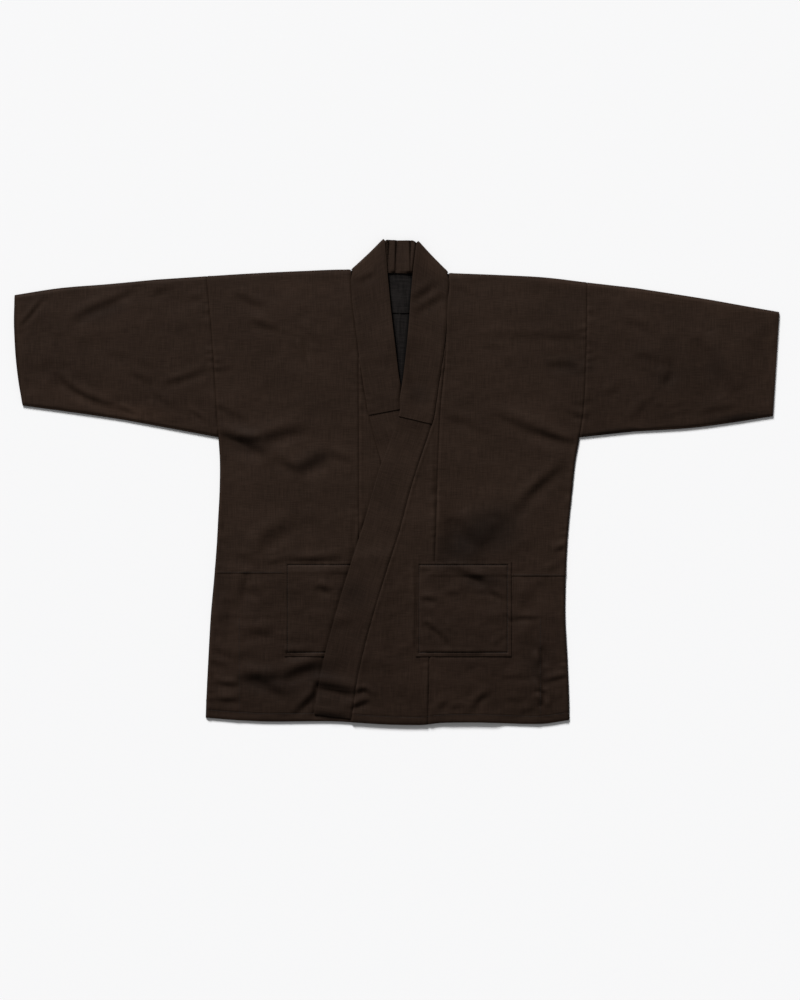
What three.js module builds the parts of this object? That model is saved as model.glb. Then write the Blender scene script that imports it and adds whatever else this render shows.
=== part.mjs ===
// A kimono jacket laid flat on a table, front up, its left front lapped over the right.
// Millimetres, +Z up, +Y towards the collar. The origin is on the table at the middle of the jacket's box.
// Right and left are the wearer's, so the right side is at -X. Every wall is a grid of points given
// a thickness, and what lies on another layer is worked out from the height of that layer.
import * as THREE from 'three';

// Cloth and layers
const CLOTH = 1.2;
const BAND = 1.8;
const OVER_BAND = 1.0;
const FACING = 1.0;
const SEAM_GAP = 0.3;
// Along the collar the panels stop a little further off, as their edges run in straight steps
const COLLAR_GAP = 0.6;
const LAYER_GAP = 0.4;
const BACK_TOP = CLOTH;
const FRONT_REST = BACK_TOP + LAYER_GAP;
const PATCH_LIFT = CLOTH + SEAM_GAP;

// How far an upper layer stays at full height past the edge of what it covers, and then how far it slopes
const CLEAR = 22;
const SLOPE = 24;

// Air under the front, and how far from the outline it fades out
const AIR = 2.4;
const EDGE_FADE = 26;
const SMALLEST_FOLD = 18;

// Main lines across the body
const UNDERARM_Y = 75;
const NECK_Y = 344;
const POCKET_TOP = -131;
const POCKET_BOTTOM = -287;
const POCKET_OUTER = { right: -185, left: 189 };
const POCKET_INNER = { right: -28, left: 31.5 };
const OVERLAP_START = 7;

// Number of grid steps: down the armhole, underarm to pocket, down the pocket, pocket to hem,
// side to pocket, pocket to front seam, and across an overlap panel
const ROWS = { armhole: 13, waist: 10, pocket: 7, skirt: 6 };
const COLUMNS = { outer: 6, inner: 6, overlap: 2, neck: 6 };
const BACK_ROWS = [0, 3, 6, 9, 11, 13, 17, 21, 25, 29, 33, 36];
const FOLD_STEPS = 4;

// Outer edge of the body at each height: armhole seam above the underarm, side seam below it
const SIDE = [
  { y: 340, right: -313, left: 315 },
  { y: 267, right: -306, left: 314 },
  { y: 201, right: -301, left: 312.5 },
  { y: 119, right: -296, left: 308.5 },
  { y: 75, right: -293.5, left: 302 },
  { y: 33, right: -291, left: 294.5 },
  { y: -15, right: -291.5, left: 289.5 },
  { y: -62, right: -294, left: 284.5 },
  { y: -100, right: -296, left: 281.5 },
  { y: -153, right: -300, left: 279 },
  { y: -220, right: -306, left: 278 },
  { y: -290, right: -310, left: 281.5 },
  { y: -350, right: -313, left: 284 },
  { y: -402, right: -315, left: 285 },
];

// Shoulder fold and hem: height at each place across
const SHOULDER = [
  { x: -314, y: 338 },
  { x: -242, y: 342.5 },
  { x: -159, y: 346.5 },
  { x: -77, y: 349 },
  { x: 88, y: 343.2 },
  { x: 171, y: 340 },
  { x: 245, y: 336 },
  { x: 316, y: 327.5 },
];
const HEM = [
  { x: -316, y: -388.5 },
  { x: -265, y: -392.5 },
  { x: -212, y: -395 },
  { x: -106, y: -394.5 },
  { x: -20, y: -399.6 },
  { x: 40, y: -400.6 },
  { x: 75, y: -397 },
  { x: 138, y: -396.5 },
  { x: 237, y: -399 },
  { x: 288, y: -392 },
];

// Seam between each body panel and its overlap panel, and the middle seam of the back
const PANEL_SEAM = [
  { y: 340, right: -62, left: 82, back: 7 },
  { y: 218, right: -62.5, left: 81, back: 4 },
  { y: 107, right: -62, left: 72, back: 1 },
  { y: -129, right: -61.5, left: 63, back: -4 },
  { y: -287, right: -61, left: 54.5, back: -8 },
  { y: -402, right: -60, left: 52, back: -11 },
];

// Sections of the collar band from neck to hem: seam edge and free edge of each front arm
const RIGHT_ARM = [
  { seamX: -75.2, seamY: 333, freeX: -18, freeY: 379 },
  { seamX: -74, seamY: 313, freeX: -15.5, freeY: 350 },
  { seamX: -72, seamY: 289, freeX: -12, freeY: 313 },
  { seamX: -67, seamY: 251, freeX: -6.5, freeY: 269 },
  { seamX: -61.5, seamY: 209.5, freeX: 0, freeY: 223 },
  { seamX: -55, seamY: 163, freeX: 6.5, freeY: 175 },
  { seamX: -49.5, seamY: 132, freeX: 10.5, freeY: 143 },
  { seamX: -45.5, seamY: 110.5, freeX: 12.5, freeY: 121.5 },
  { seamX: -25.5, seamY: 34.5, freeX: 30.5, freeY: 51 },
  { seamX: 0, seamY: -54.5, freeX: 55.5, freeY: -38 },
  { seamX: 25.5, seamY: -145, freeX: 81.5, freeY: -129 },
  { seamX: 52, seamY: -236, freeX: 108, freeY: -219.5 },
  { seamX: 77, seamY: -323.5, freeX: 133, freeY: -307 },
  { seamX: 97, seamY: -396, freeX: 154, freeY: -396 },
];
const LEFT_ARM = [
  { seamX: 86.2, seamY: 331.5, freeX: 30.5, freeY: 376 },
  { seamX: 85, seamY: 313.5, freeX: 27.2, freeY: 346.5 },
  { seamX: 83.3, seamY: 289, freeX: 24, freeY: 312 },
  { seamX: 81.3, seamY: 251, freeX: 20, freeY: 267.5 },
  { seamX: 76.7, seamY: 209.5, freeX: 15.7, freeY: 221 },
  { seamX: 69.3, seamY: 163, freeX: 9, freeY: 171.5 },
  { seamX: 64.3, seamY: 130, freeX: 5.8, freeY: 138.5 },
  { seamX: 57.7, seamY: 96, freeX: 3.5, freeY: 108.5 },
  { seamX: 26, seamY: 0, freeX: -29.5, freeY: 17 },
  { seamX: 4, seamY: -81.5, freeX: -53, freeY: -65 },
  { seamX: -16.5, seamY: -145, freeX: -72.5, freeY: -126 },
  { seamX: -41.3, seamY: -227, freeX: -97.5, freeY: -208 },
  { seamX: -63, seamY: -314, freeX: -122.5, freeY: -304.5 },
  { seamX: -75, seamY: -390, freeX: -136, freeY: -382 },
];
// The over-collar ends at this section of each arm
const OVER_END = 7;

// The band at the back of the neck, from the right fold to the left one
const NECK_BAND = [
  { seamX: -72.1, seamY: 349.8, freeX: -20.5, freeY: 398.4 },
  { seamX: -57, seamY: 347.5, freeX: -15, freeY: 398 },
  { seamX: -37, seamY: 345.9, freeX: -8.5, freeY: 397.2 },
  { seamX: -15.7, seamY: 344.8, freeX: -1, freeY: 396 },
  { seamX: 5.8, seamY: 344.2, freeX: 6.6, freeY: 395.6 },
  { seamX: 27.2, seamY: 344.1, freeX: 14, freeY: 395.8 },
  { seamX: 48.7, seamY: 344.4, freeX: 21.5, freeY: 396 },
  { seamX: 68.5, seamY: 345.2, freeX: 28, freeY: 396.2 },
  { seamX: 83.7, seamY: 346.6, freeX: 34.6, freeY: 396.3 },
];
// Steps from one section to the next
const ARM_STEPS = 3;
const NECK_STEPS = 4;
const NECK_PLEATS = { count: 4, from: -14, to: 27, rise: 3.2 };
const BAND_COLUMNS = 4;

// The facing sewn inside below the back of the neck
const NECK_FACING = { left: 52, right: -40, top: 343.6, bottom: 279, steps: 4 };

// Sections of each sleeve beyond the armhole, to the cuff: top fold, under seam, and bow of the line between
const RIGHT_SLEEVE = [
  { topX: -397, topY: 332.5, underX: -385, underY: 92, bow: 0 },
  { topX: -476, topY: 325, underX: -460, underY: 105.5, bow: -2 },
  { topX: -555, topY: 318.5, underX: -540, underY: 117, bow: -5 },
  { topX: -629.7, topY: 307, underX: -613.7, underY: 127.5, bow: -7 },
];
const LEFT_SLEEVE = [
  { topX: 395, topY: 318.5, underX: 390, underY: 84.5, bow: 1 },
  { topX: 501, topY: 302, underX: 480, underY: 91, bow: 0 },
  { topX: 566, topY: 290.5, underX: 550, underY: 101, bow: 0 },
  { topX: 631, topY: 279, underX: 621, underY: 114, bow: 0 },
];
const SLEEVE_STEPS = 16;

// The largest folds: start, middle and end of each, its rise (below zero for a trough) and half width
const FOLDS = [
  // right sleeve
  { x0: -431, y0: 320, xm: -502, ym: 284, x1: -548, y1: 256, rise: -2.4, width: 13 },
  { x0: -405, y0: 292, xm: -470, ym: 262, x1: -522, y1: 226, rise: 3, width: 26 },
  { x0: -560, y0: 178, xm: -514, ym: 144, x1: -443, y1: 116, rise: -2.4, width: 12 },
  { x0: -538, y0: 186, xm: -490, ym: 154, x1: -425, y1: 132, rise: 3.6, width: 16 },
  { x0: -440, y0: 180, xm: -382, ym: 166, x1: -314, y1: 190, rise: -2.2, width: 12 },
  { x0: -430, y0: 202, xm: -376, ym: 188, x1: -318, y1: 212, rise: 3, width: 16 },
  { x0: -400, y0: 152, xm: -362, ym: 130, x1: -318, y1: 102, rise: 3.2, width: 13 },
  // right front
  { x0: -258, y0: 282, xm: -212, ym: 259, x1: -166, y1: 246, rise: -2.4, width: 13 },
  { x0: -252, y0: 258, xm: -208, ym: 236, x1: -160, y1: 214, rise: 2.6, width: 20 },
  { x0: -300, y0: 72, xm: -222, ym: 64, x1: -149, y1: 86, rise: -3, width: 12 },
  { x0: -290, y0: 96, xm: -222, ym: 88, x1: -160, y1: 106, rise: 6, width: 16 },
  { x0: -284, y0: 48, xm: -242, ym: 38, x1: -196, y1: 46, rise: 3.4, width: 16 },
  { x0: -199, y0: 41, xm: -156, ym: 21, x1: -76, y1: 44, rise: -3, width: 12 },
  { x0: -206, y0: 16, xm: -158, ym: -4, x1: -88, y1: 14, rise: 4.4, width: 18 },
  { x0: -232, y0: -109, xm: -205, ym: -79, x1: -159, y1: -63, rise: -2.8, width: 14 },
  { x0: -246, y0: -92, xm: -220, ym: -58, x1: -172, y1: -40, rise: 3.4, width: 20 },
  { x0: -265, y0: -320, xm: -192, ym: -320, x1: -128, y1: -300, rise: -2.8, width: 12 },
  { x0: -262, y0: -341, xm: -195, ym: -343, x1: -140, y1: -326, rise: 4.6, width: 15 },
  // left front
  { x0: 312, y0: 60, xm: 237, ym: 82, x1: 171, y1: 110, rise: -3.2, width: 12 },
  { x0: 292, y0: 42, xm: 237, ym: 56, x1: 179, y1: 84, rise: 6, width: 16 },
  { x0: 294, y0: 84, xm: 237, ym: 103, x1: 180, y1: 128, rise: 3.4, width: 15 },
  { x0: 274, y0: 36, xm: 220, ym: -13, x1: 158, y1: -66, rise: -3.2, width: 13 },
  { x0: 256, y0: 50, xm: 200, ym: 4, x1: 146, y1: -38, rise: 5, width: 20 },
  { x0: 273, y0: 6, xm: 245, ym: -26, x1: 203, y1: -64, rise: 3.4, width: 18 },
  { x0: 80, y0: -79, xm: 138, ym: -87, x1: 196, y1: -104, rise: -2.6, width: 26 },
  { x0: 92, y0: -139, xm: 128, ym: -158, x1: 166, y1: -178, rise: -2, width: 12 },
  { x0: 97, y0: -158, xm: 130, ym: -178, x1: 164, y1: -196, rise: 2.6, width: 13 },
  { x0: 168, y0: -325, xm: 222, ym: -327, x1: 283, y1: -322, rise: -2.4, width: 12 },
  { x0: 170, y0: -343, xm: 222, ym: -346, x1: 280, y1: -340, rise: 3, width: 13 },
  // left sleeve
  { x0: 480, y0: 222, xm: 536, ym: 172, x1: 556, y1: 140, rise: -2.4, width: 17 },
  { x0: 452, y0: 204, xm: 496, ym: 168, x1: 524, y1: 128, rise: 3, width: 20 },
  { x0: 345, y0: 122, xm: 400, ym: 150, x1: 430, y1: 196, rise: 2.6, width: 20 },
];

const lerp = (a, b, t) => a + (b - a) * t;
const steps = (count, from = 0, to = 1) => Array.from({ length: count + 1 }, (_, i) => lerp(from, to, i / count));
const turned = (rows) => rows[0].map((_, i) => rows.map((row) => row[i]));
const clamp01 = (t) => Math.min(1, Math.max(0, t));
const smooth = (t) => clamp01(t) ** 2 * (3 - 2 * clamp01(t));

// A smooth curve through a table's rows, read at a value of one column
function curve(table, from, to) {
  const rows = [...table].sort((a, b) => a[from] - b[from]);
  const slope = (i) => {
    const before = rows[Math.max(0, i - 1)];
    const after = rows[Math.min(rows.length - 1, i + 1)];
    return (after[to] - before[to]) / (after[from] - before[from]);
  };
  return (at) => {
    let i = rows.findIndex((row) => row[from] > at) - 1;
    if (i === -2) i = rows.length - 2;
    i = Math.max(0, i);
    const [a, b] = [rows[i], rows[i + 1]];
    const span = b[from] - a[from];
    const t = clamp01((at - a[from]) / span);
    const ease = t * t * (3 - 2 * t);
    const leave = t * (1 - t) ** 2 * slope(i) * span;
    const arrive = t * t * (t - 1) * slope(i + 1) * span;
    return lerp(a[to], b[to], ease) + leave + arrive;
  };
}

// The same curve read by row number, for every column at once
function section(table, at) {
  const numbered = table.map((row, i) => ({ ...row, i }));
  const mixed = {};
  for (const key of Object.keys(table[0])) mixed[key] = curve(numbered, 'i', key)(at);
  return mixed;
}

// Straight lines between the rows of a table, read at a value of one column
function broken(table, from, to) {
  const rows = [...table].sort((a, b) => a[from] - b[from]);
  return (at) => {
    const next = rows.findIndex((row) => row[from] > at);
    const i = next === -1 ? rows.length - 2 : Math.max(0, next - 1);
    const t = clamp01((at - rows[i][from]) / (rows[i + 1][from] - rows[i][from]));
    return lerp(rows[i][to], rows[i + 1][to], t);
  };
}

const shoulderY = curve(SHOULDER, 'x', 'y');
const hemY = curve(HEM, 'x', 'y');
const sideX = { right: curve(SIDE, 'y', 'right'), left: curve(SIDE, 'y', 'left') };
const panelSeamX = { right: curve(PANEL_SEAM, 'y', 'right'), left: curve(PANEL_SEAM, 'y', 'left') };
const backSeamX = curve(PANEL_SEAM, 'y', 'back');
const NECK_CORNERS = { right: { seamX: -76.7, seamY: 349 }, left: { seamX: 88.3, seamY: 343.2 } };
const sections = (table, each) => {
  const last = table.length - 1;
  return steps(last * each, 0, last).map((at) => section(table, at));
};
const arm = { right: sections(RIGHT_ARM, ARM_STEPS), left: sections(LEFT_ARM, ARM_STEPS) };
const neckBand = sections(NECK_BAND, NECK_STEPS);
const collarSeamX = {
  right: broken([NECK_CORNERS.right, ...arm.right], 'seamY', 'seamX'),
  left: broken([NECK_CORNERS.left, ...arm.left], 'seamY', 'seamX'),
};
const collarFreeX = { right: broken(arm.right, 'freeY', 'freeX'), left: broken(arm.left, 'freeY', 'freeX') };
const neckSeamY = broken(neckBand, 'seamX', 'seamY');

// The outline that front and back share, as short straight pieces
function outlinePieces() {
  const pieces = [];
  const line = (points) => points.slice(1).forEach((p, i) => pieces.push([points[i], p]));
  for (const side of ['right', 'left']) {
    const sleeve = side === 'right' ? RIGHT_SLEEVE : LEFT_SLEEVE;
    const cuff = sleeve[sleeve.length - 1];
    const nearNeck = SHOULDER.filter((row) => Math.sign(row.x) === Math.sign(cuff.topX));
    nearNeck.sort((a, b) => Math.abs(a.x) - Math.abs(b.x));
    const below = SIDE.filter((row) => row.y <= UNDERARM_Y).map((row) => [row[side], row.y]);
    line([...nearNeck.map((row) => [row.x, row.y]), ...sleeve.map((row) => [row.topX, row.topY])]);
    line([[cuff.topX, cuff.topY], [cuff.underX, cuff.underY]]);
    line([...[...sleeve].reverse().map((row) => [row.underX, row.underY]), ...below]);
  }
  line(HEM.map((row) => [row.x, row.y]));
  return pieces;
}
const OUTLINE = outlinePieces();

function nearestOnPiece([a, b], x, y) {
  const [dx, dy] = [b[0] - a[0], b[1] - a[1]];
  const t = clamp01(((x - a[0]) * dx + (y - a[1]) * dy) / (dx * dx + dy * dy));
  return { t, distance: Math.hypot(x - a[0] - dx * t, y - a[1] - dy * t) };
}

const outlineDistance = (x, y) => Math.min(...OUTLINE.map((piece) => nearestOnPiece(piece, x, y).distance));

// Each fold is a parabola through its three points, kept as short straight pieces
const FOLD_PIECES = 10;
const foldPaths = FOLDS.map((fold) => {
  const bendX = 2 * fold.xm - (fold.x0 + fold.x1) / 2;
  const bendY = 2 * fold.ym - (fold.y0 + fold.y1) / 2;
  const points = Array.from({ length: FOLD_PIECES + 1 }, (_, i) => {
    const s = i / FOLD_PIECES;
    const [start, bend, end] = [(1 - s) ** 2, 2 * s * (1 - s), s ** 2];
    return [start * fold.x0 + bend * bendX + end * fold.x1, start * fold.y0 + bend * bendY + end * fold.y1];
  });
  return { ...fold, points };
});

function foldRise(x, y) {
  let total = 0;
  for (const fold of foldPaths) {
    let best = { distance: Infinity, s: 0 };
    for (let i = 0; i < FOLD_PIECES; i += 1) {
      const near = nearestOnPiece([fold.points[i], fold.points[i + 1]], x, y);
      if (near.distance < best.distance) best = { distance: near.distance, s: (i + near.t) / FOLD_PIECES };
    }
    const width = Math.max(SMALLEST_FOLD, fold.width);
    total += fold.rise * Math.exp(-((best.distance / width) ** 2)) * Math.sin(Math.PI * best.s) ** 0.6;
  }
  return total;
}

// Air and folds under cloth that lies loose, none at the outline
function loose(x, y) {
  return smooth(outlineDistance(x, y) / EDGE_FADE) * Math.max(0, AIR + foldRise(x, y));
}

// Full up to an edge and CLEAR past it, then sloping to nothing; inside is positive
const covers = (inside) => smooth((inside + CLEAR + SLOPE) / SLOPE);

// Where the right front is free to rise: away from its collar and from the left front's collar on it
function rightFrontBottom(x, y) {
  const fromCollar = smooth((collarSeamX.right(y) - x) / EDGE_FADE);
  const fromLap = smooth((collarFreeX.left(y) - CLEAR - x) / EDGE_FADE);
  return FRONT_REST + loose(x, y) * Math.min(fromCollar, fromLap);
}

// The left front and its collar lie on the right pocket too
function overPocket(x, y) {
  const across = Math.min(x - POCKET_OUTER.right, POCKET_INNER.right - x);
  const along = Math.min(y - POCKET_BOTTOM, POCKET_TOP - y);
  return covers(Math.min(across, along)) * PATCH_LIFT;
}

// The left front and its collar lie on the right front, and on its collar and over-collar
function lapBottom(x, y) {
  const overFront = covers(collarFreeX.right(y) - x);
  const overBand = Math.min(overFront, covers(x - collarSeamX.right(y)));
  const overOverBand = Math.min(overBand, covers(y - RIGHT_ARM[OVER_END].seamY));
  const stack = overFront * (CLOTH + LAYER_GAP) + overBand * (BAND - CLOTH);
  return FRONT_REST + stack + overOverBand * (OVER_BAND + SEAM_GAP) + overPocket(x, y);
}

function leftFrontBottom(x, y) {
  const fromCollar = smooth((x - collarSeamX.left(y)) / EDGE_FADE);
  return lapBottom(x, y) + loose(x, y) * fromCollar;
}

const frontBottom = { right: rightFrontBottom, left: leftFrontBottom };

// The wall: points hold a place on the middle of the cloth and the way its outer face looks
const point = (x, y, z, nx = 0, ny = 0, nz = 1) => ({ place: [x, y, z], facing: [nx, ny, nz] });

// Gives grids of points a thickness. Grids that share points are joined there, and the rest is closed round.
function wall(name, colour, thickness, grids) {
  const found = new Map();
  const points = [];
  const indexOf = (p) => {
    const key = p.place.map((v) => v.toFixed(3)).join();
    if (!found.has(key)) found.set(key, points.push(p) - 1);
    return found.get(key);
  };
  const quads = [];
  for (const grid of grids) {
    const index = grid.map((row) => row.map(indexOf));
    for (let r = 0; r + 1 < index.length; r += 1) {
      for (let c = 0; c + 1 < index[r].length; c += 1) {
        quads.push([index[r][c], index[r + 1][c], index[r + 1][c + 1], index[r][c + 1]]);
      }
    }
  }
  const positions = [];
  for (const half of [thickness / 2, -thickness / 2]) {
    for (const { place, facing } of points) place.forEach((v, i) => positions.push(v + facing[i] * half));
  }
  const inner = points.length;
  const triangles = [];
  const edges = new Map();
  for (const quad of quads) {
    const corners = quad.filter((v, i) => v !== quad[(i + 1) % quad.length]);
    for (let i = 1; i + 1 < corners.length; i += 1) {
      const [a, b, c] = [corners[0], corners[i], corners[i + 1]];
      triangles.push(a, b, c, a + inner, c + inner, b + inner);
    }
    corners.forEach((a, i) => {
      const b = corners[(i + 1) % corners.length];
      if (!edges.delete(`${b},${a}`)) edges.set(`${a},${b}`, [a, b]);
    });
  }
  for (const [a, b] of edges.values()) {
    triangles.push(a, a + inner, b + inner, a, b + inner, b);
  }
  const geometry = new THREE.BufferGeometry();
  geometry.setAttribute('position', new THREE.Float32BufferAttribute(positions, 3));
  geometry.setIndex(triangles);
  geometry.computeVertexNormals();
  const material = new THREE.MeshStandardMaterial({ color: colour, roughness: 0.85, metalness: 0 });
  const mesh = new THREE.Mesh(geometry, material);
  mesh.name = name;
  return mesh;
}


// Turns over a fold from the lower layer to the upper one: outward is the way the fold bulges in plan
function bend(x, y, outward, lowerZ, upperZ) {
  const radius = (upperZ - lowerZ) / 2;
  return steps(FOLD_STEPS, 0, Math.PI).slice(1, -1).map((angle) => {
    const [out, up] = [Math.sin(angle), -Math.cos(angle)];
    const z = lowerZ + radius * (1 + up);
    return point(x + outward[0] * out * radius, y + outward[1] * out * radius, z,
      outward[0] * out, outward[1] * out, up);
  });
}

// Heights of the body's rows at a place across, from shoulder fold to hem
function bodyRowY(row, x) {
  const waistStart = ROWS.armhole;
  const pocketStart = waistStart + ROWS.waist;
  const skirtStart = pocketStart + ROWS.pocket;
  if (row <= waistStart) return lerp(shoulderY(x), UNDERARM_Y, row / ROWS.armhole);
  if (row <= pocketStart) return lerp(UNDERARM_Y, POCKET_TOP, (row - waistStart) / ROWS.waist);
  if (row <= skirtStart) return lerp(POCKET_TOP, POCKET_BOTTOM, (row - pocketStart) / ROWS.pocket);
  return lerp(POCKET_BOTTOM, hemY(x), (row - skirtStart) / ROWS.skirt);
}
const BODY_ROWS = ROWS.armhole + ROWS.waist + ROWS.pocket + ROWS.skirt;

// Where a line that runs down the body crosses a row
const CROSSING_TRIES = 4;
function crossing(row, line) {
  let x = line(UNDERARM_Y);
  for (let i = 0; i < CROSSING_TRIES; i += 1) x = line(bodyRowY(row, x));
  return x;
}

// Edges of the front on a row, each a little inside its seam line
function frontEdges(side, row) {
  const inward = side === 'right' ? 1 : -1;
  const outer = crossing(row, sideX[side]) + (inward * SEAM_GAP) / 2;
  const panelSeam = crossing(row, panelSeamX[side]);
  const collarSeam = crossing(row, collarSeamX[side]) - inward * COLLAR_GAP;
  const pocket = POCKET_OUTER[side];
  return { outer, pocket, panelSeam, collarSeam };
}

const isOverlapRow = (row) => row >= OVERLAP_START;

// X of each column of a body panel's front, from side to front seam
function bodyColumns(side, row) {
  const inward = side === 'right' ? 1 : -1;
  const edge = frontEdges(side, row);
  const front = isOverlapRow(row) ? edge.panelSeam - (inward * SEAM_GAP) / 2 : edge.collarSeam;
  return [
    ...steps(COLUMNS.outer, edge.outer, edge.pocket).slice(0, -1),
    ...steps(COLUMNS.inner, edge.pocket, front),
  ];
}

// X of each column of an overlap panel, from its seam with the body to the collar seam
function overlapColumns(side, row) {
  const inward = side === 'right' ? 1 : -1;
  const edge = frontEdges(side, row);
  const seam = edge.panelSeam + (inward * SEAM_GAP) / 2;
  const width = Math.abs(edge.collarSeam - seam);
  const toPocket = Math.abs(POCKET_INNER[side] - seam);
  const middle = seam + inward * Math.min(toPocket, width / 2);
  return [...steps(COLUMNS.overlap, seam, middle).slice(0, -1), ...steps(COLUMNS.overlap, middle, edge.collarSeam)];
}

function frontRow(side, row, columns) {
  return columns.map((x) => {
    const y = bodyRowY(row, x);
    return point(x, y, frontBottom[side](x, y) + CLOTH / 2);
  });
}

// Grids are wound so that their outer faces look up on the front; the left side is mirrored
const wound = (side, grid) => (side === 'right' ? grid : grid.map((row) => [...row].reverse()));

// Front and back in one length, folded at the shoulder
function bodyPanel(side) {
  const inward = side === 'right' ? 1 : -1;
  const front = steps(BODY_ROWS, 0, BODY_ROWS).map((row) => frontRow(side, row, bodyColumns(side, row)));
  const topRow = front[0];
  const lowerZ = CLOTH / 2;
  const fold = turned(topRow.map((p) => bend(p.place[0], p.place[1], [0, 1], lowerZ, p.place[2])));
  const neckX = topRow[topRow.length - 1].place[0];
  const back = BACK_ROWS.map((row) => {
    const outer = bodyColumns(side, row)[0];
    const middle = crossing(row, backSeamX) - (inward * SEAM_GAP) / 2;
    const shoulder = topRow.map((p) => {
      const across = (p.place[0] - topRow[0].place[0]) / (neckX - topRow[0].place[0]);
      return row === 0 ? p.place[0] : lerp(outer, neckX, across);
    });
    const columns = [...shoulder, ...steps(COLUMNS.neck, neckX, middle).slice(1)];
    return columns.map((x, i) => {
      const top = i < shoulder.length ? topRow[i].place[1] : neckSeamY(x) - COLLAR_GAP;
      const rowY = row <= ROWS.armhole ? lerp(top, UNDERARM_Y, row / ROWS.armhole) : bodyRowY(row, x);
      return point(x, rowY, lowerZ, 0, 0, -1);
    });
  });
  const backJoin = back[0].slice(0, topRow.length);
  const overFold = [backJoin, ...fold, ...front];
  const backDown = [...back].reverse();
  return wall(`body_${side}`, '#2b211b', CLOTH, [wound(side, overFold), wound(side, backDown)]);
}

const overlapRows = steps(BODY_ROWS - OVERLAP_START, OVERLAP_START, BODY_ROWS);

function overlapPanel(side) {
  const grid = overlapRows.map((row) => frontRow(side, row, overlapColumns(side, row)));
  return wall(`overlap_${side}`, '#2b211b', CLOTH, [wound(side, grid)]);
}

// A patch pocket is made from the points of the panels under it, moved out
function pocket(side) {
  const first = ROWS.armhole + ROWS.waist;
  const grid = steps(ROWS.pocket, first, first + ROWS.pocket).map((row) => {
    const body = bodyColumns(side, row).slice(COLUMNS.outer, -1);
    const overlap = overlapColumns(side, row).slice(1, COLUMNS.overlap + 1);
    const seam = crossing(row, panelSeamX[side]);
    return frontRow(side, row, [...body, seam, ...overlap]).map((p) => {
      const [x, py, z] = p.place;
      return point(x, py, z + PATCH_LIFT);
    });
  });
  return wall(`pocket_${side}`, '#281f19', CLOTH, [wound(side, grid)]);
}

// A flattened tube, folded along the top and sewn along the underarm
function sleeve(side) {
  const table = side === 'right' ? RIGHT_SLEEVE : LEFT_SLEEVE;
  const outward = side === 'right' ? -1 : 1;
  const rings = steps(SLEEVE_STEPS, 0, table.length).map((at) => {
    const far = section(table, Math.max(0, at - 1));
    const place = (row) => {
      const t = row / ROWS.armhole;
      const armhole = bodyColumns(side, row)[0];
      const x = lerp(far.topX, far.underX, t) + far.bow * 4 * t * (1 - t);
      const near = Math.min(1, at);
      return [
        lerp(armhole + outward * SEAM_GAP, x, near),
        lerp(bodyRowY(row, armhole), lerp(far.topY, far.underY, t), near),
      ];
    };
    const upper = steps(ROWS.armhole, 0, ROWS.armhole).map((row) => {
      const [x, y] = place(row);
      return point(x, y, FRONT_REST + loose(x, y) + CLOTH / 2);
    });
    const underRows = BACK_ROWS.filter((row) => row <= ROWS.armhole).reverse();
    const lower = underRows.map((row) => point(...place(row), CLOTH / 2, 0, 0, -1));
    const topZ = upper[0].place[2];
    const underZ = upper[ROWS.armhole].place[2];
    const topBend = bend(...place(0), [0, 1], CLOTH / 2, topZ);
    const underBend = bend(...place(ROWS.armhole), [0, -1], CLOTH / 2, underZ).reverse();
    return [...upper, ...underBend, ...lower, ...topBend, upper[0]];
  });
  return wall(`sleeve_${side}`, '#2b211b', CLOTH, [wound(side, rings)]);
}

// The band lies high where it turns over at the neck, and comes down on the back below it
const NECK_LOWER_Z = OVER_BAND + SEAM_GAP + BAND / 2;
const NECK_UPPER_Z = NECK_LOWER_Z + BAND + LAYER_GAP;
const NECK_DOWN = { from: 300, to: 235 };

function armBottom(side, x, y) {
  const atNeck = smooth((y - NECK_DOWN.to) / (NECK_DOWN.from - NECK_DOWN.to));
  const fromNeck = lerp(FRONT_REST, NECK_UPPER_Z - BAND / 2, atNeck);
  return side === 'right' ? fromNeck : Math.max(fromNeck, lapBottom(x, y));
}

// A place across the band, from its free edge to its seam
const bandPlace = (row, t) => [lerp(row.freeX, row.seamX, t), lerp(row.freeY, row.seamY, t)];

function armRow(side, row, lift) {
  return steps(BAND_COLUMNS).map((t) => {
    const [x, y] = bandPlace(row, t);
    return point(x, y, armBottom(side, x, y) + BAND / 2 + lift);
  });
}

// Over the slanting fold at the side of the neck, from the band behind the neck to the front arm
function neckFold(side, lowerZ, upperZ) {
  const row = neckBand[side === 'right' ? 0 : neckBand.length - 1];
  const along = [row.freeX - row.seamX, row.freeY - row.seamY];
  const length = Math.hypot(...along);
  const turn = side === 'right' ? 1 : -1;
  const outward = [(-along[1] / length) * turn, (along[0] / length) * turn];
  const columns = steps(BAND_COLUMNS).map((t) => {
    const [x, y] = bandPlace(row, t);
    return [...bend(x, y, outward, lowerZ, upperZ), point(x, y, upperZ)];
  });
  return turned(columns);
}

function neckPleat(x) {
  const { count, from, to, rise } = NECK_PLEATS;
  const place = clamp01((x - from) / (to - from));
  return (rise * (1 - Math.cos(2 * Math.PI * count * place))) / 2;
}

// The part behind the neck lies with its outer face down, and its free edge is gathered in small pleats
function neckRows(lowerZ, pleated) {
  return neckBand.map((row) => steps(BAND_COLUMNS).map((t) => {
    const [x, y] = bandPlace(row, t);
    return point(x, y, lowerZ + (pleated ? neckPleat(x) * (1 - t) ** 2 : 0), 0, 0, -1);
  }));
}

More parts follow.
